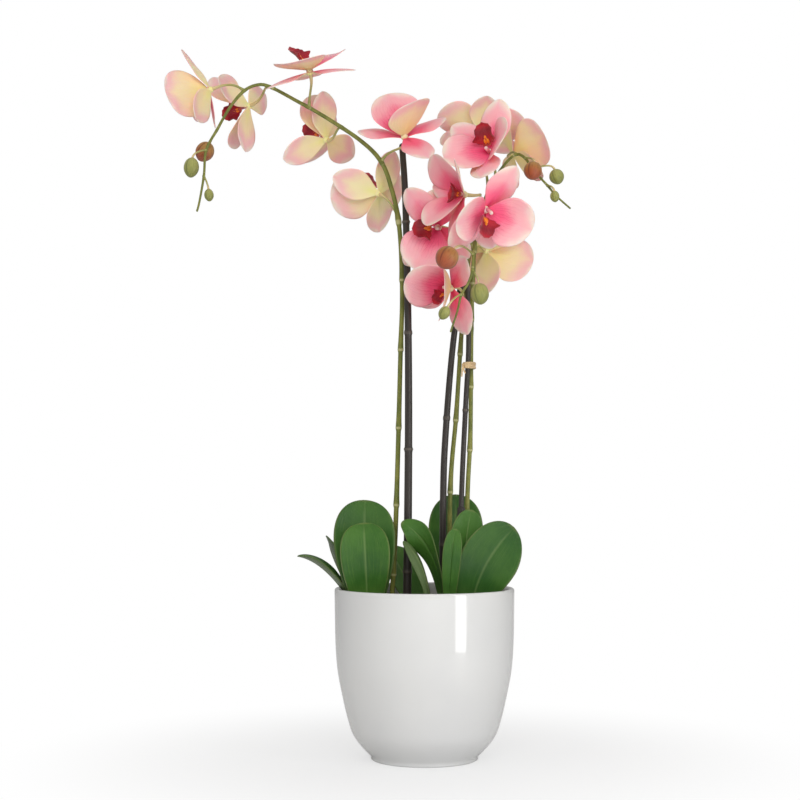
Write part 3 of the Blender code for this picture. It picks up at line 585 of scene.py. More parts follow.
class Graph:
    """The nodes of a material: each method adds one and returns its output; inputs are numbers, colours or
    outputs."""

    def __init__(self, name, **settings):
        """Start a material and set plain values on its shader's own sockets."""
        self.material = bpy.data.materials.new(name)
        self.material.use_nodes = True
        self.tree = self.material.node_tree
        self.shader = self.tree.nodes["Principled BSDF"]
        for label, value in settings.items():
            self.shader.inputs[label.replace("_", " ")].default_value = value

    def feed(self, socket, value):
        """Link an output to a socket, or set a plain value on it."""
        if isinstance(value, Value):
            self.tree.links.new(value.socket, socket)
        else:
            socket.default_value = (*value, 1.0) if socket.type == "RGBA" else value

    def node(self, kind, values, output=0, **settings):
        """Add a node, set it up, feed its inputs by order or by label, and return one of its outputs."""
        node = self.tree.nodes.new("ShaderNode" + kind)
        for label, value in settings.items():
            setattr(node, label, value)
        for label, value in values.items() if isinstance(values, dict) else enumerate(values):
            self.feed(node.inputs[label], value)
        return Value(self, node.outputs[output])

    def read(self, label):
        """Return an attribute of the mesh."""
        return self.node("Attribute", (), "Fac", attribute_name=label)

    def place(self, stretch=(1.0, 1.0, 1.0)):
        """Return the object coordinates, stretched along each axis."""
        return self.node("Mapping", {"Vector": self.node("TexCoord", (), "Object"), "Scale": stretch})

    def join(self, x, y, z=0.0):
        """Return a vector from three values."""
        return self.node("CombineXYZ", (x, y, z))

    def noise(self, vector, scale, detail=2.0, rough=0.5):
        """Return soft noise between 0 and 1."""
        return self.node("TexNoise", {"Vector": vector, "Scale": scale, "Detail": detail, "Roughness": rough},
                         "Fac")

    def cells(self, vector, scale):
        """Return the distance to the nearest of a field of scattered points."""
        return self.node("TexVoronoi", {"Vector": vector, "Scale": scale}, "Distance")

    def span(self, value, low, high, out_low=0.0, out_high=1.0):
        """Return value mapped smoothly from low..high to out_low..out_high and held there."""
        return self.node("MapRange", (value, low, high, out_low, out_high), interpolation_type="SMOOTHSTEP")

    def ramp(self, value, *stops):
        """Return a colour from stops of (place, colour)."""
        node = self.tree.nodes.new("ShaderNodeValToRGB")
        node.color_ramp.interpolation = "EASE"
        elements = node.color_ramp.elements
        while len(elements) < len(stops):
            elements.new(0.5)
        for element, (at, colour) in zip(elements, stops):
            element.position = at
            element.color = (*colour, 1.0)
        self.feed(node.inputs[0], value)
        return Value(self, node.outputs[0])

    def mix(self, factor, a, b):
        """Return colour a turned towards colour b."""
        return self.node("Mix", {0: factor, 6: a, 7: b}, 2, data_type="RGBA")

    def bump(self, height, depth, strength=1.0):
        """Raise the surface by height times depth metres."""
        raised = self.node("Bump", {"Strength": strength, "Distance": depth, "Height": height})
        self.feed(self.shader.inputs["Normal"], raised)

    def colour(self, value):
        """Colour the shader."""
        self.feed(self.shader.inputs["Base Color"], value)

    def rough(self, value):
        """Set how matt the surface is."""
        self.feed(self.shader.inputs["Roughness"], value)


def glaze_material(settings):
    """White gloss glaze: faint pooling in the colour, a slight orange-peel waviness, and a clear coat."""
    g = Graph("pot_glaze", Coat_Weight=0.8, Coat_Roughness=0.03, IOR=1.52)
    place = g.place()
    speck = g.span(g.cells(place, 260.0), 0.0, 0.09, 1.0, 0.0)
    colour = g.mix(g.span(g.noise(place, 9.0, 3.0), 0.35, 0.7), settings.glaze, settings.glaze_pooled)
    g.colour(g.mix(speck * 0.10, colour, (0.45, 0.42, 0.38)))
    g.rough(g.span(g.noise(place, 40.0), 0.3, 0.7, 0.10, 0.17))
    g.bump(g.noise(place, 55.0, 1.0) + speck * -0.4, 0.0003, 0.35)
    return g.material


def liner_material():
    """Black moulded plastic, slightly dusty, with fine scratches running round."""
    g = Graph("nursery_plastic", IOR=1.46)
    dust = g.noise(g.place(), 60.0, 4.0, 0.7)
    g.colour(g.ramp(dust, (0.35, (0.018, 0.018, 0.019)), (0.8, (0.07, 0.062, 0.052))))
    scratch = g.noise(g.place((1.0, 1.0, 40.0)), 60.0, 2.0)
    g.rough(g.span(scratch, 0.3, 0.7, 0.38, 0.62))
    g.bump(scratch, 0.0002, 0.4)
    return g.material


def bark_material():
    """Orchid bark: chips from grey brown to rust, each with its own tone and a coarse grain."""
    g = Graph("bark")
    tint = g.read("tint")
    grain = g.noise(g.join(g.read("across") * 3.0, g.read("along") * 9.0, tint * 40.0), 2.2, 5.0, 0.7)
    soil = g.noise(g.place(), 240.0, 5.0, 0.7)
    chip = g.ramp(tint, (0.0, (0.050, 0.026, 0.014)), (0.35, (0.11, 0.055, 0.028)),
                  (0.7, (0.19, 0.095, 0.045)), (1.0, (0.26, 0.17, 0.10)))
    dark = g.mix(g.span(grain, 0.35, 0.62), (0.022, 0.013, 0.009), chip)
    g.colour(g.mix(g.span(soil, 0.55, 0.8), dark, (0.020, 0.013, 0.009)))
    g.rough(0.85)
    g.bump(grain + soil * 0.6, 0.0012, 0.8)
    return g.material


def cane_material(settings):
    """Black cane: dark, slightly brown at the joints, with fine lengthwise grain under a dull polish."""
    g = Graph("cane", Coat_Weight=0.25, Coat_Roughness=0.25)
    grain = g.noise(g.join(g.read("across") * 9.0, g.read("along") * 2.0), 4.0, 4.0)
    body = g.mix(g.span(grain, 0.35, 0.75), settings.cane, (0.052, 0.042, 0.034))
    g.colour(g.mix(g.span(g.read("tint"), 0.2, 0.9), body, (0.085, 0.070, 0.055)))
    g.rough(g.span(grain, 0.3, 0.7, 0.30, 0.48))
    g.bump(grain, 0.0004, 0.5)
    return g.material


def stem_material(settings):
    """Green stem: olive, mottled darker, with pale straw scars at its joints and paler flower stalks."""
    g = Graph("stem", Subsurface_Weight=0.05, Subsurface_Scale=0.002)
    mottle = g.noise(g.place((1.0, 1.0, 0.35)), 190.0, 3.0)
    body = g.mix(g.span(mottle, 0.35, 0.7), settings.stem, settings.stem_dark)
    stalk = g.ramp(g.read("along") + mottle * 0.15, (0.0, (0.20, 0.22, 0.045)), (0.55, (0.36, 0.34, 0.12)),
                   (1.0, (0.60, 0.47, 0.24)))
    scar = g.span(g.read("tint"), 0.45, 0.95)
    g.colour(g.mix(scar, g.mix(g.read("kind"), body, stalk), (0.42, 0.40, 0.19)))
    g.rough(g.span(mottle, 0.3, 0.8, 0.42, 0.58))
    g.bump(mottle, 0.0004, 0.5)
    return g.material


def raffia_material():
    """Raffia: straw strands with long pale and dark fibres."""
    g = Graph("raffia", Sheen_Weight=0.2)
    fibre = g.noise(g.join(g.read("across") * 5.0, g.read("along") * 3.0), 5.0, 4.0, 0.6)
    g.colour(g.ramp(fibre, (0.25, (0.36, 0.22, 0.09)), (0.5, (0.66, 0.46, 0.24)), (0.8, (0.84, 0.68, 0.44))))
    g.rough(0.72)
    g.bump(fibre, 0.0005, 0.8)
    return g.material


def leaf_material(settings):
    """Waxy strap leaf: deep green with a paler midrib and faint long veins above, dull yellow green below."""
    g = Graph("leaf", Coat_Weight=0.10, Coat_Roughness=0.30, Specular_IOR_Level=0.35)
    along, across, tint = g.read("along"), g.read("across"), g.read("tint")
    wide = across.maths("ABSOLUTE")
    place = g.place()
    cloud = g.noise(place, 26.0, 4.0)
    line = g.noise(g.join(across * 22.0, along * 1.6, tint), 2.2, 3.0)
    rib = g.span(wide, 0.0, 0.085, 1.0, 0.0) * g.span(along, 0.75, 1.0, 1.0, 0.2)
    margin = g.span(wide.maths("MAXIMUM", along * 2.0 - 1.0), 0.93, 1.0)
    upper = g.mix(g.span(cloud, 0.3, 0.72), settings.leaf, settings.leaf_light)
    for factor, colour in ((g.span(line, 0.52, 0.72, 0.0, 0.45), (0.110, 0.215, 0.035)),
                           (rib * 0.38, (0.235, 0.330, 0.120)), (margin * 0.5, (0.20, 0.22, 0.07)),
                           (g.span(along, 0.0, 0.35, 0.35, 0.0), (0.16, 0.22, 0.06))):
        upper = g.mix(factor, upper, colour)
    lower = g.mix(g.span(line, 0.4, 0.7), (0.075, 0.125, 0.040), (0.125, 0.180, 0.065))
    lower = g.mix(rib * 0.6, lower, (0.22, 0.28, 0.11))
    g.colour(g.mix(tint * 0.35, g.mix(g.read("front"), lower, upper), (0.020, 0.050, 0.020)))
    g.rough(g.span(cloud, 0.3, 0.7, 0.34, 0.50))
    g.bump(line * 0.7 + g.noise(place, 420.0, 2.0) * 0.25, 0.0006, 0.6)
    return g.material


def petal_material(settings):
    """Silk petal: crimson pink at the throat with branching veins that run out to a pale rim; its back is
    straw yellow at the base and pink towards the rim. The column carries its own colours."""
    g = Graph("petal", Sheen_Weight=0.12, Sheen_Roughness=0.4, Subsurface_Weight=0.25, Subsurface_Scale=0.006)
    along, across, tint = g.read("along"), g.read("across"), g.read("tint")
    place = g.place()
    cloud = g.noise(place, 95.0, 3.0)
    wander = g.noise(g.join(across * 2.0, along * 3.0, tint * 30.0), 2.4, 2.0) - 0.5
    turned = across + wander * 0.208

    def veins(count, width):
        """Lines at even steps across the petal, as the places where a sine passes through zero."""
        wave = (turned * (math.pi * count)).maths("SINE").maths("ABSOLUTE")
        return g.span(wave, 0.0, width, 1.0, 0.0)

    vein = veins(7.0, 0.36).maths("MAXIMUM", veins(15.0, 0.45) * g.span(along, 0.2, 0.5, 0.0, 0.7))
    reach = along * 0.82 + across.maths("ABSOLUTE") * 0.26 + (cloud - 0.5) * 0.22 + (tint - 0.5) * 0.16
    front = g.ramp(reach, (0.06, settings.throat), (0.28, settings.petal), (0.68, settings.petal_pale),
                   (0.98, settings.rim))
    front = g.mix(vein * g.span(reach, 0.15, 0.75, 0.60, 0.05), front, settings.vein)
    back = g.ramp(reach, (0.10, settings.back_base), (0.48, settings.back), (0.80, settings.back_rim),
                  (1.0, settings.rim))
    back = g.mix(vein * 0.20, back, settings.rim)
    column = g.ramp(along, (0.0, (0.62, 0.12, 0.16)), (0.7, (0.84, 0.38, 0.42)), (1.0, (0.92, 0.66, 0.60)))
    g.colour(g.mix(g.span(g.read("kind"), 1.4, 1.6), g.mix(g.read("front"), back, front), column))
    g.rough(g.span(cloud, 0.3, 0.7, 0.50, 0.64))
    g.bump(vein * -0.5 + g.noise(place, 900.0, 2.0) * 0.35, 0.0005, 0.6)
    return g.material


def lip_material(settings):
    """Lip: velvet crimson, darkest about three quarters of the way along, striped at the side lobes, with a
    spotted orange callus.
    """
    g = Graph("lip", Sheen_Weight=0.25, Sheen_Roughness=0.35, Subsurface_Weight=0.05, Subsurface_Scale=0.002)
    place = g.place()
    cloud = g.noise(place, 160.0, 3.0)
    stripe = (g.read("across") * 22.0).maths("SINE").maths("ABSOLUTE")
    body = g.ramp(g.read("along") + cloud * 0.2, (0.08, (0.62, 0.16, 0.08)), (0.26, settings.lip),
                  (0.75, settings.lip_dark), (1.0, settings.lip))
    body = g.mix(g.span(stripe, 0.0, 0.35, 1.0, 0.0) * 0.35, body, (0.70, 0.16, 0.20))
    spots = g.span(g.cells(place, 900.0), 0.18, 0.34, 1.0, 0.0)
    callus = g.mix(spots * 0.8, settings.callus, (0.42, 0.03, 0.03))
    g.colour(g.mix(g.span(g.read("kind"), 3.4, 3.6), body, callus))
    g.rough(g.span(cloud, 0.3, 0.7, 0.36, 0.52))
    g.bump(cloud + stripe * 0.3, 0.0005, 0.6)
    return g.material


def bud_material(name, base, tip, seam):
    """Bud: colour running from stalk to tip, long faint veins, and darker seams."""
    g = Graph(name, Sheen_Weight=0.1, Coat_Weight=0.1, Coat_Roughness=0.3)
    along, across = g.read("along"), g.read("across")
    fibre = g.noise(g.join(across * 9.0, along * 1.5), 2.5, 3.0)
    cloud = g.noise(g.place(), 120.0, 3.0)
    body = g.ramp(along + (cloud - 0.5) * 0.5, (0.05, base), (0.9, tip))
    body = g.mix(g.span(fibre, 0.5, 0.7, 0.0, 0.4), body, seam)
    line = g.span(((across + 1.0) * (3 * math.pi)).maths("COSINE"), 0.93, 1.0)
    g.colour(g.mix(line * 0.7, body, seam))
    g.rough(0.46)
    g.bump(fibre, 0.0004, 0.5)
    return g.material


# -------- sizes and colours a user would change
def shade(name, description, default):
    """Return a colour property."""
    return bpy.props.FloatVectorProperty(name=name, description=description, default=default, size=3, min=0.0,
                                         max=1.0, subtype="COLOR")


def power(name, description, default):
    """Return a property for the power of a light."""
    return bpy.props.FloatProperty(name=name, description=description, default=default, min=0.0, unit="POWER")


class OrchidPotSettings(bpy.types.PropertyGroup):
    """Finish of the pot."""
    glaze: shade("Glaze", "Colour of the glaze", (0.66, 0.66, 0.65))
    glaze_pooled: shade("Pooled glaze", "Colour where the glaze has pooled", (0.63, 0.632, 0.63))


class OrchidPlantSettings(bpy.types.PropertyGroup):
    """Finish of the canes, stems, leaves and buds."""
    cane: shade("Cane", "Colour of the canes", (0.016, 0.013, 0.012))
    stem: shade("Stem", "Colour of the stems", (0.200, 0.205, 0.042))
    stem_dark: shade("Stem shade", "Darker mottling of the stems", (0.115, 0.135, 0.026))
    leaf: shade("Leaf", "Deep green of the leaves", (0.022, 0.095, 0.010))
    leaf_light: shade("Leaf light", "Lighter patches of the leaves", (0.055, 0.155, 0.018))
    bud_green: shade("Green bud", "Colour of the small buds", (0.225, 0.235, 0.055))
    bud_brown: shade("Brown bud", "Colour of the large buds", (0.330, 0.070, 0.022))


class OrchidFlowerSettings(bpy.types.PropertyGroup):
    """Colours and waviness of the flowers."""
    ruffle: bpy.props.FloatProperty(name="Ruffle", description="Height of the waves along a petal's rim",
                                    default=0.0009, min=0.0, max=0.003, unit="LENGTH")
    throat: shade("Throat", "Front of a petal at its base", (0.62, 0.012, 0.085))
    petal: shade("Petal", "Front of a petal round its middle", (0.93, 0.105, 0.225))
    petal_pale: shade("Pale petal", "Front of a petal towards its rim", (0.95, 0.42, 0.46))
    rim: shade("Rim", "Rim of a petal", (0.94, 0.72, 0.64))
    vein: shade("Vein", "Veins of a petal", (0.60, 0.015, 0.085))
    back_base: shade("Back base", "Back of a petal at its base", (0.93, 0.80, 0.33))
    back: shade("Back", "Back of a petal round its middle", (0.96, 0.76, 0.45))
    back_rim: shade("Back rim", "Back of a petal towards its rim", (0.95, 0.52, 0.51))
    lip: shade("Lip", "Colour of the lip", (0.400, 0.008, 0.020))
    lip_dark: shade("Lip shade", "Darker part of the lip", (0.210, 0.003, 0.012))
    callus: shade("Callus", "Colour of the callus", (0.90, 0.27, 0.02))


class OrchidStageSettings(bpy.types.PropertyGroup):
    """Floor, lights and camera."""
    floor: shade("Floor", "Colour of the floor", (0.80, 0.80, 0.80))
    focal_length: bpy.props.FloatProperty(name="Focal length", default=72.86, min=20.0, max=200.0,
                                          description="Focal length of the camera, in mm")
    key_power: power("Key light", "Power of the main soft light", 31.0)
    fill_power: power("Fill light", "Power of the fill light", 5.0)
    window_power: power("Window light", "Power of the tall narrow light", 1.0)


SETTINGS = {"orchid_pot": OrchidPotSettings, "orchid_plant": OrchidPlantSettings,
            "orchid_flower": OrchidFlowerSettings, "orchid_stage": OrchidStageSettings}


# -------- stems and stalks
def nearest(path, point):
    """Return the sample of a path nearest a point."""
    return path[int(np.argmin(np.linalg.norm(path - np.asarray(point, float), axis=1)))]


def stalk(spike_path, leave_at, joint, back, lift, steps, thin, thick):
    """Return the curve of a stalk from its stem to a flower or bud, and its radius at both ends."""
    start = nearest(spike_path, leave_at)
    reach = np.linalg.norm(joint - start)
    line = bezier(start, start + (joint - start) * STALK_PULL + np.array([0, 0, lift * reach]),
                  joint + back * reach * STALK_PULL, joint, steps)
    return line, thin, thick


def stalks_of(spike_name):
    """Return (curve, radius, radius at the far end) of every flower and bud stalk of one stem."""
    path = smooth_path(SPIKES[spike_name][0], SPIKE_STEP)
    stalks = []
    for centre, facing, _, leave_at, *_ in FLOWERS[spike_name].values():
        back = -unit(facing)
        joint = np.asarray(centre, float) + back * (HUB_RADIUS - 1.0)
        stalks.append(stalk(path, leave_at, joint, back, *FLOWER_STALK))
    for centre, _, length, pointing, leave_at in BUDS[spike_name].values():
        back = -unit(pointing)
        joint = np.asarray(centre, float) + back * (length / 2 - 0.6)
        stalks.append(stalk(path, leave_at, joint, back, *BUD_STALK))
    return stalks


def swell(position, places, size, fade):
    """Return a bump that rises steeply before each place and dies away over fade beyond it."""
    gap = position[:, None] - np.asarray(places, float)[None]
    return size * (np.exp(-np.clip(gap, 0, None) / fade) * (gap >= 0)
                   + np.exp(-(gap / JOINT_RISE) ** 2) * (gap < 0)).sum(axis=1)


class OrchidOperator:
    """Shared parts of the operators."""
    bl_options = {"REGISTER", "UNDO"}


class ORCHID_OT_pot(OrchidOperator, bpy.types.Operator):
    """Turn the pot on its axis: a tapering wall with a rolled rim and a glazed floor."""
    bl_idname = "orchid.pot"
    bl_label = "Pot"

    def execute(self, context):
        """Make the pot."""
        profile = POT_FOOT + smooth_profile(POT_OUTER, 4.0) + POT_RIM + POT_INNER
        make_piece("pot", [lathe(profile, POT_SIDES)], glaze_material(context.scene.orchid_pot))
        return {"FINISHED"}


class ORCHID_OT_liner(OrchidOperator, bpy.types.Operator):
    """Turn the thin ribbed nursery pot that stands inside the glazed one."""
    bl_idname = "orchid.liner"
    bl_label = "Nursery pot"

    def execute(self, context):
        """Make the liner."""
        liner = lathe(LINER_PROFILE, LINER_SIDES, LINER_RIBS, RIB_DEPTH)
        make_piece("nursery_pot", [liner], liner_material())
        return {"FINISHED"}


class ORCHID_OT_bark(OrchidOperator, bpy.types.Operator):
    """Fill the liner: a lumpy bed with loose chips lying on it, each a squared egg turned its own way."""
    bl_idname = "orchid.bark"
    bl_label = "Bark"

    def execute(self, context):
        """Make the bed and its chips."""
        rng = np.random.default_rng(SEED)
        shapes = [lathe(smooth_profile(BARK_PROFILE, 6.0), BARK_SIDES, BARK_LUMPS, LUMP_DEPTH)]
        for k in range(CHIP_COUNT):
            reach = CHIP_SPREAD * math.sqrt((k + 0.5) / CHIP_COUNT)
            angle = k * GOLDEN_ANGLE + rng.uniform(-0.2, 0.2)
            centre = (reach * math.cos(angle), reach * math.sin(angle), rng.uniform(*CHIP_LEVEL))
            heading = rng.uniform(0, 2 * math.pi)
            long = rng.uniform(*CHIP_LONG)
            chip = egg((0, 0, 0), 0.5, 1.0, (1, 0, 0), 6, 7, tint=rng.uniform())
            points = np.sign(chip["verts"]) * (2 * np.abs(chip["verts"])) ** 0.55 / 2
            points *= (1 + rng.uniform(-0.16, 0.16, points.shape)) * (long, long * rng.uniform(*CHIP_WIDE),
                                                                     rng.uniform(*CHIP_THICK))
            tilt, roll = rng.uniform(-0.4, 0.4, 2)
            turned = Euler((roll, tilt, heading)).to_matrix()
            shapes.append(placed(dict(chip, verts=points), turned, centre))
        make_piece("bark_medium", shapes, bark_material())
        return {"FINISHED"}


class ORCHID_OT_canes(OrchidOperator, bpy.types.Operator):
    """Run three black canes up beside the stems, ringed at their joints."""
    bl_idname = "orchid.canes"
    bl_label = "Canes"

    def execute(self, context):
        """Make the canes."""
        material = cane_material(context.scene.orchid_plant)
        for name, (points, foot, tip) in CANES.items():
            path = smooth_path(points, 2.0)
            ring = np.exp(-((path[:, 2:3] - np.array(CANE_JOINTS[name])) / CANE_RING) ** 2).sum(axis=1)
            radius = np.linspace(foot, tip, len(path)) + CANE_SWELL * ring * foot / 4
            shapes = [tube(path, radius, CANE_SIDES, tint=ring)]
            if name == "stake_right":
                low, high, wall = SLEEVE
                inside = path[(path[:, 2] > low) & (path[:, 2] < high)]
                shapes.append(tube(inside, foot + wall, CANE_SIDES))
            make_piece(name, shapes, material)
        return {"FINISHED"}


class ORCHID_OT_stems(OrchidOperator, bpy.types.Operator):
    """Grow the three flower stems with their joints and every flower and bud stalk."""
    bl_idname = "orchid.stems"
    bl_label = "Stems"

    def execute(self, context):
        """Make the stems."""
        material = stem_material(context.scene.orchid_plant)
        for name, (points, foot, tip) in SPIKES.items():
            path = smooth_path(points, FINE_STEP)
            length = np.concatenate([[0], np.cumsum(np.linalg.norm(np.diff(path, axis=0), axis=1))])
            stalks = stalks_of(name)
            heights = path[length <= length[-1] * UPRIGHT_PART, 2]
            upright = [length[np.argmin(np.abs(heights - z))] for z in STEM_JOINTS[name]]
            forks = [length[np.argmin(np.linalg.norm(path - line[0], axis=1))] - FORK_BELOW
                     for line, *_ in stalks]
            bump = swell(length, upright, 1.0, JOINT_FADE) + swell(length, forks, FORK_SWELL, FORK_FADE)
            radius = np.interp(length / length[-1], (0, 0.6, 1), (foot, foot * 0.9, tip))
            scar = np.exp(-((length[:, None] - np.array(upright + forks)) / SCAR_WIDTH) ** 2).sum(axis=1)
            radius = radius + JOINT_SWELL * np.clip(bump, 0, 1.3) * radius / foot
            shapes = [tube(path, radius, STEM_SIDES, 0.0, np.clip(scar, 0, 1))]
            for line, thin, thick in stalks:
                t = np.linspace(0, 1, len(line))
                width = thin + (thick - thin) * t ** 4 + 0.7 * np.exp(-(t / 0.10) ** 2)
                shapes.append(tube(line, width, STEM_SIDES, 1.0, 0.8 * np.exp(-((t - 0.06) / 0.05) ** 2)))
            make_piece(name, shapes, material)
        return {"FINISHED"}


class ORCHID_OT_tie(OrchidOperator, bpy.types.Operator):
    """Wind raffia round the right cane and the front stem and leave two loose ends."""
    bl_idname = "orchid.tie"
    bl_label = "Raffia tie"

    def execute(self, context):
        """Make the tie."""
        centre = np.array(TIE_CENTRE)
        along = unit(TIE_ALONG)
        across = np.array([along[1], -along[0], 0.0])
        turn = np.linspace(0, 2 * np.pi * TIE_WRAPS, 40 * TIE_WRAPS)
        wobble = TIE_WOBBLE * np.sin(turn * 1.7)
        path = (centre + np.cos(turn)[:, None] * along * (TIE_HALF[0] + wobble[:, None])
                + np.sin(turn)[:, None] * across * (TIE_HALF[1] + wobble[:, None])
                + np.array([0, 0, 1.0]) * (np.linspace(-TIE_RISE, TIE_RISE, len(turn)) + wobble)[:, None])
        shapes = [tube(path, TIE_STRAND, 8, squash=1.3)]
        knot = centre - along * KNOT_AT[0] - across * KNOT_AT[1]
        shapes.append(egg(knot, 1.9, 4.4, along, 12, 12))
        for drop, lean in TAILS:
            end = knot - along * 3.2 + across * lean + (0, 0, drop)
            tail = bezier(knot, knot - along * 3.0 + (0, 0, 1.5),
                          knot - along * (4.5 - lean) + (0, 0, drop * 0.5), end, 18)
            shapes.append(tube(tail, np.linspace(0.8, 0.45, len(tail)), 8, squash=1.4))
        make_piece("tie", shapes, raffia_material())
        return {"FINISHED"}


class ORCHID_OT_leaves(OrchidOperator, bpy.types.Operator):
    """Lay out eleven strap leaves, folded along the midrib and waved at the margins."""
    bl_idname = "orchid.leaves"
    bl_label = "Leaves"

    def execute(self, context):
        """Make the leaves."""
        material = leaf_material(context.scene.orchid_plant)
        tints = np.random.default_rng(SEED + 1).uniform(0, 1, len(LEAVES))
        for (name, (foot, middle, tip, width, face, curl)), tint in zip(LEAVES.items(), tints):
            make_piece(name, [leaf_sheet(foot, middle, tip, width, face, curl, tint)], material)
        return {"FINISHED"}


def lip_size(petal_lean):
    """Lips are a little smaller in flowers whose petals stand forward."""
    return next(size for lean, size in LIP_SIZES if petal_lean < lean)


class ORCHID_OT_flowers(OrchidOperator, bpy.types.Operator):
    """Open fourteen flowers: three sepals, two petals, the column and the lip with its callus."""
    bl_idname = "orchid.flowers"
    bl_label = "Flowers"

    def execute(self, context):
        """Make every flower and its lip."""
        settings = context.scene.orchid_flower
        skin, velvet = petal_material(settings), lip_material(settings)
        rng = np.random.default_rng(SEED + 2)
        rows = [row for spray in FLOWERS.values() for row in spray.items()]
        for name, (centre, facing, top, _, petal_lean, sepal_lean, turn, tweaks) in rows:
            axes = flower_axes(facing, top)
            whole = rng.uniform(0.2, 0.8)
            shapes = [egg((0, 0, 0), HUB_RADIUS * 0.8, 2 * HUB_RADIUS, (0.05, 0.03, 1), 14, 16)]
            for label, spec, angle, droop in TEPALS:
                is_petal = spec is PETAL
                extra_turn, extra_lean, size = tweaks.get(label, (0, 0, 1.0))
                spec = dict(spec, length=spec["length"] * size, width=spec["width"] * size)
                steps, grid = tepal(angle + extra_turn - (turn if is_petal else 0), spec,
                                    (petal_lean if is_petal else sepal_lean) + extra_lean + droop, is_petal,
                                    settings.ruffle / MM, rng.uniform(0, 6.3))
                kind = PETAL_KIND if is_petal else SEPAL_KIND
                own = whole + rng.uniform(-0.2, 0.2)
                shapes.append(slab(grid, SHEET_MIDDLE, SHEET_RIM, steps, kind, own))
            column = smooth_path(COLUMN, 0.8)
            wide = np.interp(np.linspace(0, 1, len(column)), (0, 0.5, 1), COLUMN_RADIUS)
            shapes.append(tube(column, wide, 14, COLUMN_KIND, whole))
            make_piece(name, [placed(s, axes, centre) for s in shapes], skin)
            size = lip_size(petal_lean)
            start = np.array(LIP_START)
            shapes = [lip_sheet(size, whole)]
            for spot, radius, long in CALLUS:
                centred = start + (np.array(spot) - start) * size
                shapes.append(egg(centred, radius * size, long * size, (0, -.25, 1), 12, 12, 0.2,
                                  kind=CALLUS_KIND))
            lip = name.replace("flower", "lip")
            make_piece(lip, [placed(s, axes, centre) for s in shapes], velvet)
        return {"FINISHED"}


class ORCHID_OT_buds(OrchidOperator, bpy.types.Operator):
    """Hang nine buds at the ends of the sprays."""
    bl_idname = "orchid.buds"
    bl_label = "Buds"

    def execute(self, context):
        """Make the buds."""
        settings = context.scene.orchid_plant
        brown = bud_material("bud_brown", (0.36, 0.20, 0.05), settings.bud_brown, (0.12, 0.02, 0.01))
        green = bud_material("bud_green", (0.33, 0.33, 0.10), settings.bud_green, (0.10, 0.12, 0.03))
        rows = [row for spray in BUDS.values() for row in spray.items()]
        for name, (centre, radius, length, pointing, _) in rows:
            material, slot = (brown, "bud_brown") if name.endswith("1") else (green, "bud_green")
            make_piece(name, [egg(centre, radius, length, pointing, 26, 36, 0.15, 0.05)], material)
        return {"FINISHED"}


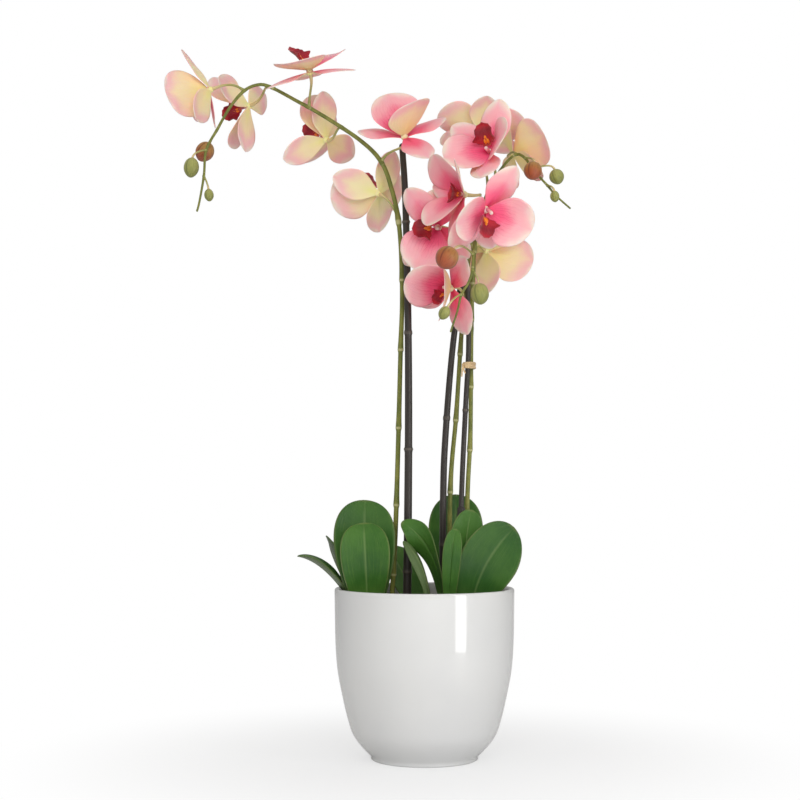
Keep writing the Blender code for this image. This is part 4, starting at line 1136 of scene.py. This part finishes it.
class ORCHID_OT_stage(OrchidOperator, bpy.types.Operator):
    """Set the plant on a plain pale floor under soft light, with the camera in front of it."""
    bl_idname = "orchid.stage"
    bl_label = "Stage"

    def execute(self, context):
        """Make the floor, the lights, the surroundings and the camera."""
        settings = context.scene.orchid_stage
        self.lay_floor(settings.floor)
        for name, (place, target, wide, tall, power, times) in LIGHTS.items():
            light = bpy.data.lights.new(name, "AREA")
            light.shape = "RECTANGLE"
            light.size, light.size_y, light.energy = wide, tall, times * getattr(settings, power)
            lamp = self.stand(name, light, place)
            lamp.visible_glossy = name in REFLECTED
            lamp.visible_camera = False
            lamp.rotation_euler = (Vector(target) - Vector(place)).to_track_quat("-Z", "Y").to_euler()
        self.surround()
        context.scene.view_settings.view_transform = "Standard"
        camera = bpy.data.cameras.new("camera")
        camera.sensor_width = SENSOR_WIDTH
        camera.lens = settings.focal_length
        camera.clip_end = CLIP_END
        eye = self.stand("camera", camera, EYE)
        eye.rotation_euler = (math.radians(EYE_TILT), 0.0, 0.0)
        context.scene.camera = eye
        return {"FINISHED"}

    def stand(self, name, data, place=(0.0, 0.0, 0.0)):
        """Put an object into the scene and return it."""
        obj = bpy.data.objects.new(name, data)
        obj.location = place
        bpy.context.scene.collection.objects.link(obj)
        return obj

    def lay_floor(self, colour):
        """Lay a wide floor whose far part looks as white as the surroundings, to the camera only."""
        disc = lathe(FLOOR_PROFILE, FLOOR_SIDES)
        mesh = bpy.data.meshes.new("floor")
        faces = [face for block, _ in disc["faces"] for face in block.tolist()]
        mesh.from_pydata((disc["verts"] * MM).tolist(), [], faces)
        g = Graph("floor", Roughness=0.6)
        g.colour(colour)
        white = g.node("Emission", {"Color": (1.0, 1.0, 1.0), "Strength": 1.0})
        reach = g.node("VectorMath", (g.place(),), "Value", operation="LENGTH")
        seen = g.span(reach, *FLOOR_FADE) * g.node("LightPath", (), "Is Camera Ray")
        blend = g.node("MixShader", (seen, Value(g, g.shader.outputs[0]), white))
        g.feed(g.tree.nodes["Material Output"].inputs["Surface"], blend)
        mesh.materials.append(g.material)
        self.stand("floor", mesh)

    def surround(self):
        """Fill the surroundings: white where the camera sees them, dimmer where they light the plant."""
        world = bpy.data.worlds.new("surroundings")
        bpy.context.scene.world = world
        world.use_nodes = True
        nodes, links = world.node_tree.nodes, world.node_tree.links
        lit, seen = nodes.new("ShaderNodeBackground"), nodes["Background"]
        for shader, colour, strength in ((lit, WARM_WHITE, AMBIENT), (seen, WHITE, 1.0)):
            shader.inputs["Color"].default_value = colour
            shader.inputs["Strength"].default_value = strength
        chosen = nodes.new("ShaderNodeMixShader")
        sources = (nodes.new("ShaderNodeLightPath").outputs["Is Camera Ray"], lit.outputs[0], seen.outputs[0])
        for source, socket in zip(sources, chosen.inputs):
            links.new(source, socket)
        links.new(chosen.outputs[0], nodes["World Output"].inputs["Surface"])


BUILD_ORDER = (ORCHID_OT_pot, ORCHID_OT_liner, ORCHID_OT_bark, ORCHID_OT_canes, ORCHID_OT_stems,
               ORCHID_OT_tie, ORCHID_OT_leaves, ORCHID_OT_flowers, ORCHID_OT_buds, ORCHID_OT_stage)


class ORCHID_PT_panel(bpy.types.Panel):
    """List the settings and the operators."""
    bl_idname = "ORCHID_PT_panel"
    bl_label = "Potted Moth Orchid"
    bl_space_type = "VIEW_3D"
    bl_region_type = "UI"
    bl_category = "Orchid"

    def draw(self, context):
        """Draw each group of settings, then a button for each piece."""
        for group in SETTINGS:
            box = self.layout.box()
            settings = getattr(context.scene, group)
            for label in SETTINGS[group].__annotations__:
                box.prop(settings, label)
        for operator in BUILD_ORDER:
            self.layout.operator(operator.bl_idname)


CLASSES = (*SETTINGS.values(), *BUILD_ORDER, ORCHID_PT_panel)


def register():
    """Register every class and hang the settings on the scene."""
    for cls in CLASSES:
        bpy.utils.register_class(cls)
    for label, cls in SETTINGS.items():
        setattr(bpy.types.Scene, label, bpy.props.PointerProperty(type=cls))


def unregister():
    """Undo register."""
    for label in SETTINGS:
        delattr(bpy.types.Scene, label)
    for cls in reversed(CLASSES):
        bpy.utils.unregister_class(cls)


def main():
    """Build every piece."""
    register()
    for operator in BUILD_ORDER:
        group, label = operator.bl_idname.split(".")
        getattr(getattr(bpy.ops, group), label)()


if __name__ == "__main__":
    main()
